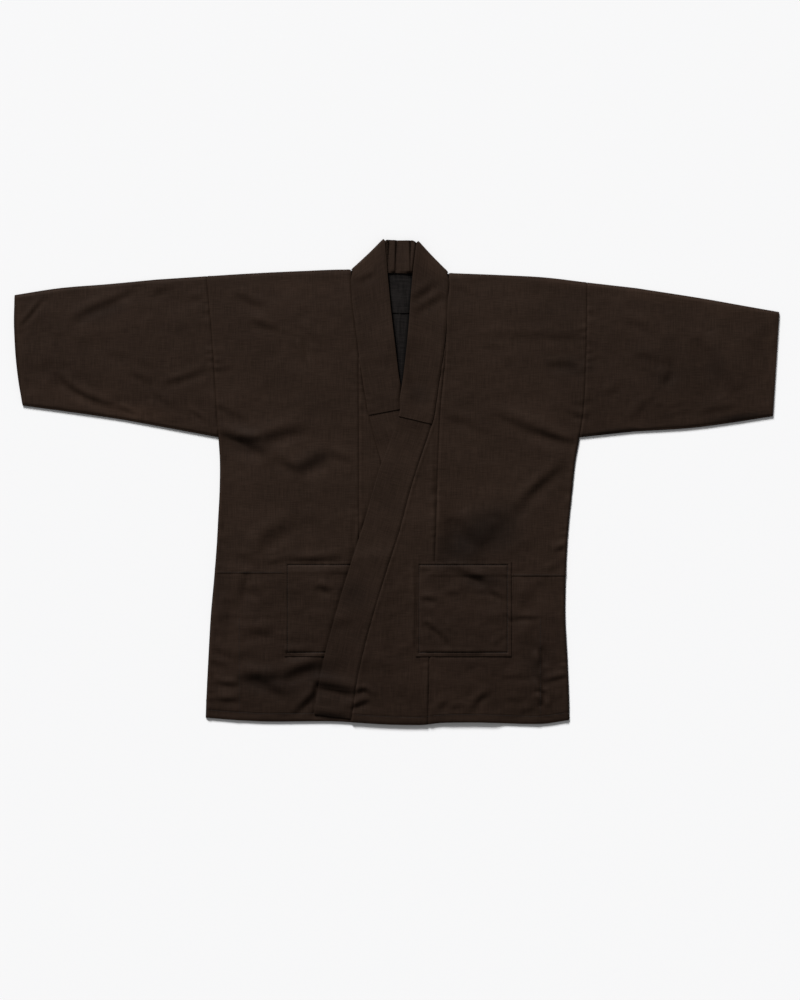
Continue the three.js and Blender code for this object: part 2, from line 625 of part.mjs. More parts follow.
// One long strip: up the right front, round the neck and down the left front
function collarRows(lift, endSection, pleated) {
  const lowerZ = NECK_LOWER_Z - lift;
  const upperZ = NECK_UPPER_Z + lift;
  const armRows = (side) => arm[side].slice(0, endSection * ARM_STEPS + 1).map((row) => armRow(side, row, lift));
  return [
    ...armRows('right').reverse(),
    ...neckFold('right', lowerZ, upperZ).reverse(),
    ...neckRows(lowerZ, pleated),
    ...neckFold('left', lowerZ, upperZ),
    ...armRows('left'),
  ];
}

function collar() {
  return wall('collar', '#2b211b', BAND, [collarRows(0, RIGHT_ARM.length - 1, true)]);
}

// The over-collar is made from the upper part of the collar, moved out
function overCollar() {
  const lift = BAND / 2 + SEAM_GAP + OVER_BAND / 2;
  return wall('over_collar', '#2c221c', OVER_BAND, [collarRows(lift, OVER_END, false)]);
}

function neckFacing() {
  const { left, right, top, bottom } = NECK_FACING;
  const z = BACK_TOP + SEAM_GAP + FACING / 2;
  const grid = steps(NECK_FACING.steps).map((down) => steps(NECK_FACING.steps, right, left).map((x) => {
    const y = lerp(Math.min(top, neckSeamY(x) - SEAM_GAP), bottom, down);
    return point(x, y, z);
  }));
  return wall('neck_facing', '#1d1817', FACING, [grid]);
}

const jacket = new THREE.Group();
for (const side of ['right', 'left']) {
  jacket.add(bodyPanel(side), overlapPanel(side), sleeve(side), pocket(side));
}
jacket.add(collar(), overCollar(), neckFacing());

export default jacket;
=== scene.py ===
"""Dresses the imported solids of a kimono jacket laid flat, front up, left front over right.

Sizes in the tables are millimetres, +X towards the left cuff, +Y towards the collar, +Z up, and the
table top is at zero. Right and left are the wearer's.
"""
import math

import bpy
import numpy as np
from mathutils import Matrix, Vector, noise


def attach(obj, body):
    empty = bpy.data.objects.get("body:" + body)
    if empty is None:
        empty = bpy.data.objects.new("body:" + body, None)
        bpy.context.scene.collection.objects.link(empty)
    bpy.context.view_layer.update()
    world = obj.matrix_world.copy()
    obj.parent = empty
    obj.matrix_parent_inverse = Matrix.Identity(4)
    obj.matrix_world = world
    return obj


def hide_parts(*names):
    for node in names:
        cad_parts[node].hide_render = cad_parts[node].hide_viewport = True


bl_info = {
    "name": "Kimono jacket",
    "version": (1, 0, 0),
    "blender": (4, 5, 0),
    "location": "View3D > Sidebar > Jacket",
    "description": "Dresses the solids of a kimono jacket laid flat with cloth, seams and stitching",
    "category": "Object",
}

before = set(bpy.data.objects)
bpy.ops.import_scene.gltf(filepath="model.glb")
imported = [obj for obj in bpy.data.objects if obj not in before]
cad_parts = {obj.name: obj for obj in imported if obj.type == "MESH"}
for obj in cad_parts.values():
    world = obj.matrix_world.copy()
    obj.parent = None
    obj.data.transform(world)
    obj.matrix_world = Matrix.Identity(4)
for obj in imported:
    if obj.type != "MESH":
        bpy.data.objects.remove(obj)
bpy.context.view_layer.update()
BODY = "root"
MM = 0.001

# Walls and the gaps between layers
CLOTH = 1.2
BAND = 1.8
OVER_BAND = 1.0
FACING = 1.0
SEAM_GAP = 0.3
LAYER_GAP = 0.4
BACK_TOP = CLOTH
FRONT_REST = BACK_TOP + LAYER_GAP
# The front's upper side is never lower than this, so that the front stays above the back
LOWEST_FRONT = BACK_TOP + CLOTH + 0.1
PATCH_LIFT = CLOTH + SEAM_GAP

# Past the edge of what it covers an upper layer is still at full height, and then it slopes down
CLEAR = 3.0
SLOPE = 24.0

# Air under the front, and how far from the outline it fades out
AIR = 3.8
EDGE_FADE = 4.0
EDGE_AIR = 1.2
AIR_FADE = 75.0
CREASE_FADE = 9.0

# Main lines across the body
UNDERARM_Y = 75.0
POCKET_TOP = -131.0
POCKET_BOTTOM = -287.0
POCKET_X = {"right": (-185.0, -28.0), "left": (31.5, 189.0)}
SIDES = ("right", "left")
INWARD = {"right": 1.0, "left": -1.0}

# Outer edge of the body: height, right, left
SIDE = (
    (340, -313, 315),
    (267, -306, 314),
    (201, -301, 312.5),
    (119, -296, 308.5),
    (75, -293.5, 302),
    (33, -291, 294.5),
    (-15, -291.5, 289.5),
    (-62, -294, 284.5),
    (-100, -296, 281.5),
    (-153, -300, 279),
    (-220, -306, 278),
    (-290, -310, 281.5),
    (-350, -313, 284),
    (-402, -315, 285),
)

# Shoulder fold and hem: place across, height
SHOULDER = (
    (-314, 338),
    (-242, 342.5),
    (-159, 346.5),
    (-77, 349),
    (88, 343.2),
    (171, 340),
    (245, 336),
    (316, 327.5),
)
HEM = (
    (-316, -388.5),
    (-265, -392.5),
    (-212, -395),
    (-106, -394.5),
    (-20, -399.6),
    (40, -400.6),
    (75, -397),
    (138, -396.5),
    (237, -399),
    (288, -392),
)

# Seams of the overlap panels and of the back's middle: height, right, left, back
PANEL_SEAM = (
    (340, -62, 82, 7),
    (218, -62.5, 81, 4),
    (107, -62, 72, 1),
    (-129, -61.5, 63, -4),
    (-287, -61, 54.5, -8),
    (-402, -60, 52, -11),
)

# Sections of the collar band from the neck to the hem: seam x and y, free edge x and y
RIGHT_ARM = (
    (-75.2, 333, -18, 379),
    (-74, 313, -15.5, 350),
    (-72, 289, -12, 313),
    (-67, 251, -7.5, 269),
    (-61.5, 209.5, -2, 223),
    (-55, 163, 3.8, 175),
    (-49.5, 132, 9.5, 143),
    (-45.5, 110.5, 12.5, 121.5),
    (-25.5, 34.5, 30.5, 51),
    (0, -54.5, 55.5, -38),
    (25.5, -145, 81.5, -129),
    (52, -236, 108, -219.5),
    (77, -323.5, 133, -307),
    (97, -396, 154, -396),
)
LEFT_ARM = (
    (86.2, 331.5, 30.5, 376),
    (85, 313.5, 27.2, 346.5),
    (83.3, 289, 24, 312),
    (81.3, 251, 20.8, 267.5),
    (76.7, 209.5, 16.6, 221),
    (69.3, 163, 10.6, 171.5),
    (64.3, 130, 5.8, 138.5),
    (57.7, 96, 3.5, 108.5),
    (26, 0, -29.5, 17),
    (4, -81.5, -53, -65),
    (-16.5, -145, -72.5, -126),
    (-41.3, -227, -97.5, -208),
    (-63, -314, -122.5, -304.5),
    (-75, -390, -136, -382),
)
OVER_END = 7
NECK_CORNER = {"right": (-75.3, 349.2), "left": (86.4, 343.4)}

# The band behind the neck, from the right fold to the left one: seam x and y, free edge x and y
NECK_BAND = (
    (-72.6, 347.8, -18.8, 397.4),
    (-57, 347, -14.2, 399.2),
    (-37, 345.9, -8, 398.8),
    (-15.7, 344.8, -1, 398.4),
    (5.8, 344.2, 6.6, 398.2),
    (27.2, 344.1, 14, 398.2),
    (48.7, 344.4, 21, 398),
    (68.5, 344.6, 27.4, 398),
    (83.2, 343.8, 33, 394.2),
)
NECK_LOWER_Z = OVER_BAND + SEAM_GAP + BAND / 2
NECK_UPPER_Z = NECK_LOWER_Z + BAND + LAYER_GAP
NECK_DOWN = (235.0, 300.0)

# Small pleats in the band behind the neck, steep on the side away from the light: place across at the
# free edge, how far each leans by the seam, rise, and the half widths before and after
NECK_PLEATS = (
    (-15.0, -1.5, 4.4, 2.6, 0.9),
    (-2.6, -1.5, 4.0, 5.5, 0.9),
    (8.0, 0.0, 0.9, 4.0, 4.0),
    (20.6, 0.5, 4.2, 7.0, 1.0),
    (31.0, -7.0, 3.2, 4.0, 1.7),
)
# Between the arms the band's seam edge stands off the facing: rise, half width, middle, half length, fade
NECK_SEAM_RISE = (2.2, 38.0, 5.5, 26.0, 8.0)
# The free edges of the arms stand up beside the neck: rise, half width, and where it begins down the front
NECK_EDGE_RISE = (2.4, 17.0, 192.0, 45.0)
NECK_OPENING_FROM = 140.0
NECK_FACING = {"left": 52.0, "right": -40.0, "top": 343.6, "bottom": 279.0}

# Sections of each sleeve from near the armhole to the cuff: top fold x and y, under seam x and y, bow
SLEEVES = {
    "right": (
        (-397, 332.5, -385, 92, 0),
        (-476, 325, -460, 105.5, -2),
        (-555, 318.5, -540, 117, -5),
        (-629.7, 307, -616.7, 127.5, -5.5),
    ),
    "left": (
        (395, 318.5, 390, 84.5, 1),
        (501, 302, 480, 90, 0),
        (566, 290.5, 550, 98.8, 0),
        (631, 279, 620.5, 109.8, 0),
    ),
}

# Creases: start, middle and end, then how far the cloth rises on the side that faces the light and
# sinks on the other, and half width
LIT_SIDE = (-0.35, 0.94)
CREASES = (
    (-582, 305, -601, 280, -621, 257, 1.1, 4),
    (-428, 320, -453, 307, -483, 296, 0.9, 6),
    (-460, 295, -497, 288, -545, 255, 1.2, 7.5),
    (-545, 259, -560, 233, -570, 201, 0.4, 9),
    (-559, 180, -521, 147, -459, 124, 1.9, 6),
    (-463, 123, -445, 119, -427, 110, 0.9, 4),
    (-441, 181, -423, 173, -402, 161, 0.7, 6),
    (-385, 165, -357, 169, -308, 190, 1.2, 6.5),
    (-408, 150, -382, 134, -349, 111, 0.6, 5),
    (-343, 119, -327, 110, -312, 95, 1.0, 4),
    (-409, 309, -391, 314, -370, 325, 0.7, 7),
    (-479, 207, -460, 209, -436, 205, 0.4, 8),
    (-595, 182, -582, 193, -565, 200, 0.3, 8),
    (-347, 299, -331, 303, -318, 301, 0.6, 6),
    (-308, 186, -288, 186, -262, 191, 0.4, 6),
    (-265, 314, -242, 299, -217, 287, 1.4, 7),
    (-243, 268, -219, 259, -191, 251, 1.3, 7),
    (-191, 249, -174, 246, -158, 236, 0.3, 5),
    (-159, 238, -154, 221, -148, 200, 1.5, 4),
    (-154, 228, -139, 219, -120, 214, 0.2, 4),
    (-161, 231, -187, 191, -243, 129, 0.2, 8),
    (-159, 264, -144, 246, -123, 226, 0.8, 7),
    (-298, 129, -273, 114, -243, 104, 0.7, 6),
    (-299, 82, -258, 68, -214, 46, 4.1, 10),
    (-248, 64, -196, 79, -143, 92, 2.1, 10),
    (-265, 74, -242, 72, -222, 71, 1.3, 6),
    (-199, 45, -181, 30, -160, 17, 1.5, 8),
    (-165, 14, -140, 32, -102, 50, 2.0, 11),
    (-110, 49, -92, 41, -74, 31, 0.9, 7),
    (-222, -118, -209, -88, -156, -67, 2.2, 13),
    (-159, -65, -144, -66, -126, -73, 0.8, 10),
    (-186, -125, -139, -128, -87, -123, 1.7, 6.5),
    (-215, -135, -200, -132, -182, -129, 0.8, 5),
    (-131, -169, -120, -175, -106, -182, 2.1, 6),
    (-257, -116, -242, -129, -222, -142, 1.0, 8),
    (-254, -148, -254, -170, -258, -205, 1.7, 8),
    (-252, -174, -237, -181, -218, -181, 1.0, 8),
    (-252, -243, -229, -246, -200, -246, 1.9, 9),
    (-279, -178, -279, -214, -288, -251, 1.5, 12),
    (-318, -274, -285, -282, -252, -292, 0.9, 8),
    (-311, -293, -295, -299, -275, -298, 1.0, 6),
    (-263, -317, -225, -322, -189, -319, 3.7, 10),
    (-228, -330, -204, -340, -178, -353, 2.3, 8),
    (-193, -324, -158, -309, -120, -297, 3.3, 10),
    (-301, -328, -280, -333, -257, -333, 1.8, 5),
    (-301, -357, -280, -359, -258, -359, 1.6, 5),
    (-187, -261, -167, -262, -143, -271, 0.3, 6),
    (-186, -278, -163, -281, -133, -277, 1.3, 6),
    (-149, -256, -136, -261, -123, -261, 0.5, 6),
    (-131, -333, -143, -355, -172, -383, 2.6, 5.5),
    (-136, -330, -106, -337, -60, -347, 5.0, 7.5),
    (-64, -348, -52, -342, -37, -357, 2.1, 4.5),
    (230, -316, 238, -327, 246, -338, 1.3, 4),
    (230, -350, 238, -360, 245, -370, 1.1, 4),
    (251, -350, 254, -361, 254, -373, 0.8, 4),
    (-139, -377, -110, -384, -72, -387, 3.2, 5),
    (-88, -374, -66, -367, -40, -358, 1.9, 4.5),
    (-133, -343, -138, -360, -139, -378, 0.7, 4),
    (-103, -229, -88, -231, -68, -231, 1.1, 7),
    (-90, -170, -73, -178, -60, -172, 0.2, 8),
    (12, 162, 27, 168, 49, 170, 0.2, 6),
    (-50, 206, -31, 201, -7, 205, 0.6, 8),
    (92, 322, 111, 317, 131, 304, 0.4, 5),
    (82, 267, 171, 274, 270, 271, 0.1, 9),
    (134, 246, 220, 241, 319, 242, 0.7, 9),
    (245, 240, 270, 238, 308, 242, 0.3, 6),
    (131, 223, 158, 223, 187, 219, 0.4, 5),
    (247, 187, 270, 195, 298, 187, 1.1, 6.5),
    (257, 119, 273, 120, 290, 112, 0.2, 5),
    (286, 119, 299, 110, 319, 108, 0.9, 5),
    (295, 132, 306, 130, 323, 137, 0.5, 5),
    (81, 104, 110, 101, 140, 83, 1.0, 8),
    (131, 84, 144, 84, 167, 79, 0.3, 5),
    (161, 116, 229, 86, 306, 59, 2.1, 9),
    (229, 87, 263, 74, 303, 65, 1.0, 6),
    (282, 32, 242, 1, 183, -62, 1.7, 9),
    (247, 6, 226, -10, 206, -30, 0.5, 6),
    (75, -21, 81, -71, 80, -132, 1.7, 12),
    (98, -53, 115, -79, 134, -109, 3.0, 12),
    (181, -56, 160, -80, 131, -127, 1.0, 12),
    (138, -63, 158, -53, 179, -61, 0.6, 7),
    (237, -104, 204, -109, 179, -139, 0.6, 10),
    (263, -116, 273, -109, 291, -113, 1.8, 5),
    (247, -150, 258, -142, 280, -134, 0.7, 6),
    (184, -150, 197, -145, 220, -140, 0.4, 5.5),
    (121, -182, 148, -182, 179, -193, 0.5, 4),
    (37, -192, 52, -192, 68, -196, 1.3, 5),
    (78, -186, 92, -183, 108, -184, 0.8, 6),
    (44, -230, 65, -244, 93, -273, 1.6, 5),
    (138, -226, 158, -226, 181, -221, 0.6, 6),
    (158, -271, 170, -261, 183, -251, 0.6, 5),
    (35, -143, 47, -145, 55, -148, 0.6, 4),
    (226, -162, 224, -178, 224, -198, 1.2, 9),
    (220, -228, 222, -248, 222, -269, 1.1, 9),
    (238, -329, 262, -324, 288, -316, 1.5, 5),
    (247, -355, 263, -355, 283, -343, 0.4, 5),
    (171, -322, 204, -321, 238, -322, 1.0, 6),
    (111, -315, 134, -302, 167, -320, 0.3, 4.5),
    (171, -360, 196, -358, 224, -361, 0.4, 5),
    (368, 263, 404, 258, 437, 230, 0.8, 8),
    (391, 207, 414, 208, 437, 192, 0.7, 7),
    (436, 196, 448, 178, 435, 163, 1.8, 7),
    (336, 158, 352, 149, 372, 169, 0.6, 7),
    (412, 140, 405, 122, 385, 101, 1.2, 8),
    (445, 102, 466, 114, 489, 117, 0.4, 5),
    (441, 116, 463, 127, 489, 129, 0.3, 4.5),
    (407, 101, 420, 117, 440, 129, 0.3, 4.5),
    (501, 113, 530, 120, 570, 126, 0.4, 5),
    (504, 243, 524, 198, 549, 145, 3.1, 14),
    (319, 198, 332, 205, 342, 198, 0.5, 5),
    (87, -136, 115, -151, 148, -159, 1.8, 7),
    (119, -153, 140, -160, 159, -175, 1.3, 6),
    (144, -172, 161, -182, 179, -191, 1.2, 5),
    (184, -224, 212, -224, 242, -224, 1.0, 4.5),
    (232, -276, 237, -289, 238, -304, 3.1, 5),
    (232, -318, 237, -332, 241, -343, 3.2, 5),
    (236, -345, 239, -355, 242, -366, 3.2, 5),
    (68, -381, 73, -370, 87, -361, 1.1, 6),
    (87, -377, 100, -369, 115, -371, 0.9, 5),
    (125, -380, 138, -356, 159, -351, 1.7, 6),
    (202, -379, 215, -377, 227, -371, 0.8, 5),
    (40, -280, 108, -282, 181, -280, 0.8, 4),
    (31, -132, 31, -203, 31, -279, 1.5, 3.6),
    (64, 94, 62, -21, 64, -130, 0.8, 3.6),
    (-70, -30, -73, -79, -77, -122, 0.8, 4),
    (54, -294, 54, -343, 54, -380, 1.4, 4),
)

# Creases across the upper collar, where it lies on the neck fold
COLLAR_CREASES = (
    (24, 300, 44, 313, 66, 331, 1.2, 6.5),
    (26, 279, 52, 294, 80, 312, 1.2, 6.5),
    (-66, 328, -50, 338, -34, 346, 0.8, 6),
)

# The back lies on the table and rises a little off it here and there: place x and y, rise, half widths
BACK_RISES = (
    (-210, 180, 0.7, 46, 14),
    (-170, 60, 0.6, 60, 12),
    (-120, -90, 0.7, 38, 16),
    (-220, -230, 0.6, 44, 12),
    (200, 170, 0.6, 50, 13),
    (230, 40, 0.7, 42, 16),
    (140, -60, 0.7, 60, 18),
    (190, -240, 0.6, 40, 12),
    (60, -320, 0.5, 50, 12),
    (4, 300, 1.5, 13, 60),
    (4, 215, 1.3, 9, 60),
)

# A seam of the back is drawn up off the table: rise and half width
BACK_SEAM = (0.45, 1.6)

# Lines pressed or sewn across each front, a step down towards the hem: side, then start and end across,
# height, depth, and how wide the step is
CROSS_LINES = (
    ("right", -300, -66, -150.5, 0.9, 1.4),
    ("left", 50, 285, -155, 0.9, 1.4),
    ("right", -306, -190, -223, 0.4, 3.0),
    ("left", 196, 276, -223, 0.5, 3.0),
)
# The edge of the vent's facing shows through each front: side, place across, depth, and width of the step
VENT_LINES = (("right", -258, 0.45, 2.2), ("left", 238, 0.5, 2.2))
VENT_TOP = -224.0
TUCK_FADE = 13.0
CROSS_FADE = 6
VENT_FADE = 5
# The hem's stitched line: how wide the step down below it is, and how fast the cloth is level again
HEM_STEP = 1.8
HEM_FADE = 9.0

# Unevenness of laid cloth: height, size across, size along, and where the pattern is read
UNEVEN = ((0.9, 58, 46, 3.1), (0.42, 24, 17, 7.7), (0.16, 10, 7, 11.3))
# The smaller patterns grow below the waist: how much more, and from and to which height
CRUMPLE = 0.9
CRUMPLED_FROM = (-95.0, -190.0)
LARGE_PATTERN = 50
# How softly the front's height ends at zero, and how far from the outline the back's rises fade out
AIR_SOFTNESS = 0.3
BACK_FADE = 40

# A line's crossing with a row is found in so many rounds, and a nearest distance starts from this one
CROSSING_ROUNDS = 5
FAR = 1e9
# A crease is reckoned in short straight pieces, over so many half widths, and tapers towards its ends
CREASE_PIECES = 12
CREASE_REACH = 3.2
CREASE_TAPER = 0.7

# A seam: half width of its groove, and middle and half width of the swell beside it
SEAM_GROOVE = 1.5
SEAM_SWELL = (4.2, 2.6)
# Puckers along a seam: lengths of their pitch, drift, swell and groups, strength of the drift and the swell,
# and middle and half width of the strip that they lie in
PUCKER_LENGTHS = (2.9, 17, 11, 41)
PUCKER_DRIFT = 2.3
PUCKER_SWELL = 0.4
PUCKER_STRIP = (5, 7)
# Each seam's puckers: how strong, and where their pattern starts
PUCKERED = {
    "outer_right": (1.0, 1.3),
    "outer_left": (1.0, -1.3),
    "inner_right": (0.5, 3.1),
    "inner_left": (0.5, 1.1),
    "sleeve": (1.0, 0.7),
    "pocket_side": (1.3, 5.2),
    "pocket_edge": (0.8, 2.6),
    "band": (0.4, 4.0),
}

# Pockets: the swell inside the stitched line, and over what length it rises; depth and half width of the
# line's groove; depth of the dip beside the edge, its distance and half width; how fine its grid is
POCKET_PUFF = 0.4
POCKET_SWELL = 18
POCKET_GROOVE = (1.2, 1.3)
POCKET_DIP = (0.2, 0.5, 1.7)
POCKET_GRID = 0.85

# Dips beside the upper band's free edge, with their middle so far beyond it. On the front: depth, half
# width, share of it higher up, where and over what length it grows, and between which heights it ends.
# On the lower band: depth, half width, upper end and its fade, lower end and its fade
EDGE_TO_DIP = 1.0
BAND_DIP = (2.2, 4.0, 0.2, -20, 60)
BAND_DIP_END = (-394, -384)
ARM_DIP = (3.0, 3.0, 175, 12, 95, 40)

# The band: width, how fine its grid is, share of a seam's groove, depth and half width of the rolled edge,
# and how the pleats of the neck ease and then fade towards the seam
BAND_WIDTH = 58.0
BAND_GRID = 0.95
BAND_SEAM = 0.8
BAND_EDGE = (0.35, 1.2)
PLEAT_EASE = 0.4
PLEAT_FADE = 14

# The facing: the height its grid is made for, its grid, swell and groove at the back's seam, depth, height
# and half width of its pressed line, and its share of the unevenness with the fades below and above
FACING_HEIGHT = 64
FACING_GRID = 2.4
FACING_SEAM = (0.35, 0.6)
FACING_LINE = (0.3, 336.5, 1.2)
FACING_UNEVEN = (0.3, 12, 10)

# Steps between two sections of the arms, the neck and the sleeves, and round a fold
ARM_STEPS = 12
NECK_STEPS = 24
SLEEVE_STEPS = 24
FOLD_STEPS = 8
# Distances of the first points from an edge
EDGE_STEPS = (0, 0.7, 1.4, 2.2, 3.2, 4.6)
# Rows of the body: lengths of its zones from the shoulder to the hem, the height of the tuck with so many
# rows 1 mm apart on both sides of it, rows at these distances from the hem, and the least step at the start
ZONE_LENGTHS = (268, 206, 156, 109)
TUCK_ROWS = (-152.5, 6)
HEM_ROWS = (0.8, 1.6, 10.5, 11.5, 12.5, 13.5, 14.5, 15.5, 16.5)
LEAST_ROW = 0.002
# The back takes every third row. An overlap panel begins at this row, where it is so wide
BACK_EACH = 3
PANEL_ROW = 0.3
PANEL_WIDTH = 0.8
# Sleeves: from the armhole to the first section, depth that the grid is made for, points across underneath
SLEEVE_REACH = 86
SLEEVE_DEPTH = 250
SLEEVE_UNDER = 26
# Faces inside the back: heights from and to, to at the neck's opening, and the least upward slope
INSIDE_Z = (0.9, 2.1, 4.0)
INSIDE_UP = 0.6
JOIN_WITHIN = 0.02
SMOOTH_BELOW = math.radians(55)

# Lines of stitches. Along the hem: side, from and to across, and how far they lie below the top of its fold
HEM_STITCHES = (("right", -311, -84), ("left", -70, 281))
HEM_STITCHES_BELOW = 1.5
# At the tuck: side, from and to across, and height. At the vent: how far beside its line, and down to where
TUCK_STITCHES = (("right", -297, -188, -148.6), ("left", 192, 277, -153.1))
VENT_STITCHES = (1.0, -384)
# On the facing: heights, and from and to across. On a pocket: the points that each side's line has
FACING_STITCHES = (338.5, 282.5)
FACING_STITCHED = (-34, 46)
POCKET_STITCHED = 150
# A stitch: segments and rings, how flat the thread lies, its lift, and where a line's first one begins
STITCH_FACES = (8, 5)
THREAD_FLAT = 2.4
STITCH_LIFT = 0.08
FIRST_STITCH = 1.0

# Threads and clouds of the cloth, drawn out in noise: size across and along in metres, and detail. Then how
# rough the noise is, how much the clouds add, and the level at which a slub begins to show
WARP = (0.0016, 0.030, 2.0)
WEFT = (0.022, 0.0014, 2.0)
CLOUD = (0.11, 0.08, 3.0)
STREAK_ROUGHNESS = 0.55
CLOUD_SHARE = 0.7
SLUB_LEVEL = 1.35
# The weave's relief: pitch in metres, the scale at which Blender's bands have it, share beside the slubs,
# strength and distance in metres
THREAD_PITCH = 0.00085
WEAVE_SCALE = math.pi / 10 / THREAD_PITCH
WEAVE_SHARE = 0.35
WEAVE_BUMP = (0.35, 0.00035)
SHEEN_ROUGHNESS = 0.45
SHEEN_TINT = (0.62, 0.5, 0.42, 1)
SPECULAR = 0.06
# Roughness, sheen, and how softly the slubs come in. The facing's threads are so much lighter than its colour
CLOTH_FINISH = (0.72, 0.02, 0.28)
FACING_FINISH = (0.8, 0.03, 0.20)
FACING_THREADS = 3.0
# The sewing thread: roughness, twist, strength and distance of its relief
THREAD_ROUGHNESS = 0.85
THREAD_TWIST = 900.0
THREAD_BUMP = (0.3, 0.0001)
# How dark each kind of piece is beside the cloth's own colour
PIECE_SHADE = {"": 0.97, "_pocket": 0.92, "_band": 0.92}

# Painted light and shade: soft places of the cloth painted lighter where slopes catch the light and darker
# where folds lie in shade: place, half length, half width, tilt, and the shade at the middle
PAINTED_LIGHT_AND_SHADE = (
    (138, -84, 112, 62, 30, 0.42),
    (96, -112, 60, 44, 0, 0.76),
    (184, -100, 40, 46, 0, 0.80),
    (145, -164, 56, 30, 0, 0.64),
    (-214, -329, 78, 34, 0, 0.64),
    (-130, -312, 52, 30, -20, 0.68),
    (-70, -185, 40, 42, 0, 0.74),
    (-240, 69, 52, 36, 0, 0.72),
    (-138, 35, 52, 26, 20, 0.74),
    (-485, 280, 70, 26, 13, 0.72),
    (35, 145, 34, 27, 0, 0.74),
    (293, 191, 60, 32, 0, 0.74),
    (446, 170, 42, 34, 0, 0.78),
    (526, 188, 28, 54, 0, 0.78),
    (234, -303, 48, 64, 0, 0.74),
    (-291, -177, 30, 100, 0, 0.82),
    (362, 80, 84, 13, 3, 0.36),
    (566, 106, 70, 11, 7, 0.40),
    (-430, 112, 84, 24, -6, 1.50),
    (285, 331, 80, 18, -6, 1.25),
    (437, 306, 90, 18, -8, 1.25),
    (-624, 262, 20, 70, 0, 1.15),
    (623, 213, 18, 90, 3, 1.25),
    (450, 190, 280, 190, 0, 0.90),
    (-52, 364, 46, 26, 45, 1.35),
    (62, 360, 46, 26, -42, 1.40),
    (-150, -345, 190, 90, 0, 0.86),
    (560, 285, 110, 34, -8, 1.22),
    (-500, 138, 150, 38, -6, 1.18),
    (-150, 325, 100, 24, 3, 1.16),
)
# They fade in between these heights in metres, so that the back has none, and reach far above the cloth
SHADES_ABOVE = (0.0013, 0.0020)
SHADE_HEIGHT = 10
# The cloth is a shade darker below the waist: from and to down the front in metres, and the shade
SKIRT_FROM = (-0.08, -0.26)
SKIRT_SHADE = (0.85, 0.83, 0.82)

# Painted shade on the wrong side beside the bands' free edges, where they keep the light off it: across and
# down in metres at one point of each edge, how far the edge runs across for each metre down, which way the
# opening lies, and how wide the shade is
BAND_EDGES = (
    (0.0110, 0.1715, 0.0945, -1.0, 0.0055),
    (0.0038, 0.1750, -0.1123, 1.0, 0.0035),
)
DEEPEST_SHADE = 0.22

# What is set on a material's node itself and isn't one of its inputs
NODE_SETTINGS = (
    "operation",
    "wave_type",
    "bands_direction",
    "vector_type",
    "gradient_type",
    "interpolation_type",
)

# The camera looks straight down: where it stands, the height of the view it takes in, and its lens
CAMERA_PLACE = (0.0058, -0.0297, 4.0)
VIEW_HEIGHT = 1.65
SENSOR = 36.0
CLIP_END = 50
# Table top, in metres, and the room's light and the window's
TABLE_SIZE = 40
TABLE_Z = -0.0004
TABLE_ROUGHNESS = 0.9
ROOM_LIGHT = 0.22
WINDOW_PLACE = (-1.4, 2.4, 3.0)
WINDOW_FROM = (-0.35, 0.94, 0.532)
WINDOW_LIGHT = 5.8
WINDOW_SPREAD = math.radians(18)


def length_setting(name, description, millimetres):
    """A length that a user may change."""
    return bpy.props.FloatProperty(
        name=name, description=description, default=millimetres * MM, unit="LENGTH")


def colour_setting(name, description, default):
    """A colour that a user may change."""
    return bpy.props.FloatVectorProperty(
        name=name, description=description, default=default, subtype="COLOR", size=3, min=0, max=1)


class JacketSizes(bpy.types.PropertyGroup):
    """Sizes of the sewing and of the cloth's small forms"""

    grid: length_setting("Grid", "Distance between points of the cloth", 3.0)
    seam_depth: length_setting("Seam depth", "How far the cloth sinks at a seam", 1.0)
    seam_puff: length_setting("Seam puff", "How far the cloth swells beside a seam", 0.45)
    pucker: length_setting("Puckers", "Height of the small puckers along a seam", 0.55)
    hem: length_setting("Hem", "Depth of the hem's fold", 14.5)
    hem_dip: length_setting("Hem dip", "How far the hem's stitching draws the cloth down", 0.4)
    pocket_inset: length_setting("Pocket inset", "From a pocket's edge to its stitching", 6.0)
    stitch_length: length_setting("Stitch length", "Length of a stitch on the face", 2.6)
    stitch_pitch: length_setting("Stitch pitch", "From one stitch to the next", 3.6)
    thread: length_setting("Thread", "Width of the sewing thread", 0.5)


class JacketColours(bpy.types.PropertyGroup):
    """Colours of the cloth, the facing and the thread"""

    cloth: colour_setting("Cloth", "Colour of the cloth", (0.0142, 0.0078, 0.0048))
    slub: colour_setting("Slub", "Colour of the thicker threads", (0.0245, 0.0140, 0.0092))
    facing: colour_setting(
        "Facing", "Colour of the facing and the cloth's wrong side", (0.0040, 0.0033, 0.0031))
    thread: colour_setting("Thread", "Colour of the sewing thread", (0.006, 0.0042, 0.0036))
    floor: colour_setting("Table", "Colour of the table top", (0.86, 0.86, 0.865))


def curve(points):
    """A smooth curve through (place, value) pairs, as a function of arrays of places."""
    at, value = np.array(sorted(points), dtype=float).T
    slope = np.gradient(value, at)
    slope[1:-1] = (value[2:] - value[:-2]) / (at[2:] - at[:-2])

    def read(x):
        x = np.clip(x, at[0], at[-1])
        i = np.clip(np.searchsorted(at, x, side="right") - 1, 0, len(at) - 2)
        span = at[i + 1] - at[i]
        t = (x - at[i]) / span
        ease = t * t * (3 - 2 * t)
        bend = t * (1 - t) ** 2 * slope[i] + t * t * (t - 1) * slope[i + 1]
        return value[i] + (value[i + 1] - value[i]) * ease + bend * span

    return read


def columns_of(table, *picked):
    return [[(row[0], row[column]) for row in table] for column in picked]


def dense(table, each):
    """The table's rows with smooth ones between them, each steps from row to row."""
    number = np.arange(len(table))
    at = np.linspace(0, len(table) - 1, (len(table) - 1) * each + 1)
    return np.column_stack([curve(list(zip(number, column)))(at) for column in np.array(table).T])


def smooth(t):
    t = np.clip(t, 0, 1)
    return t * t * (3 - 2 * t)


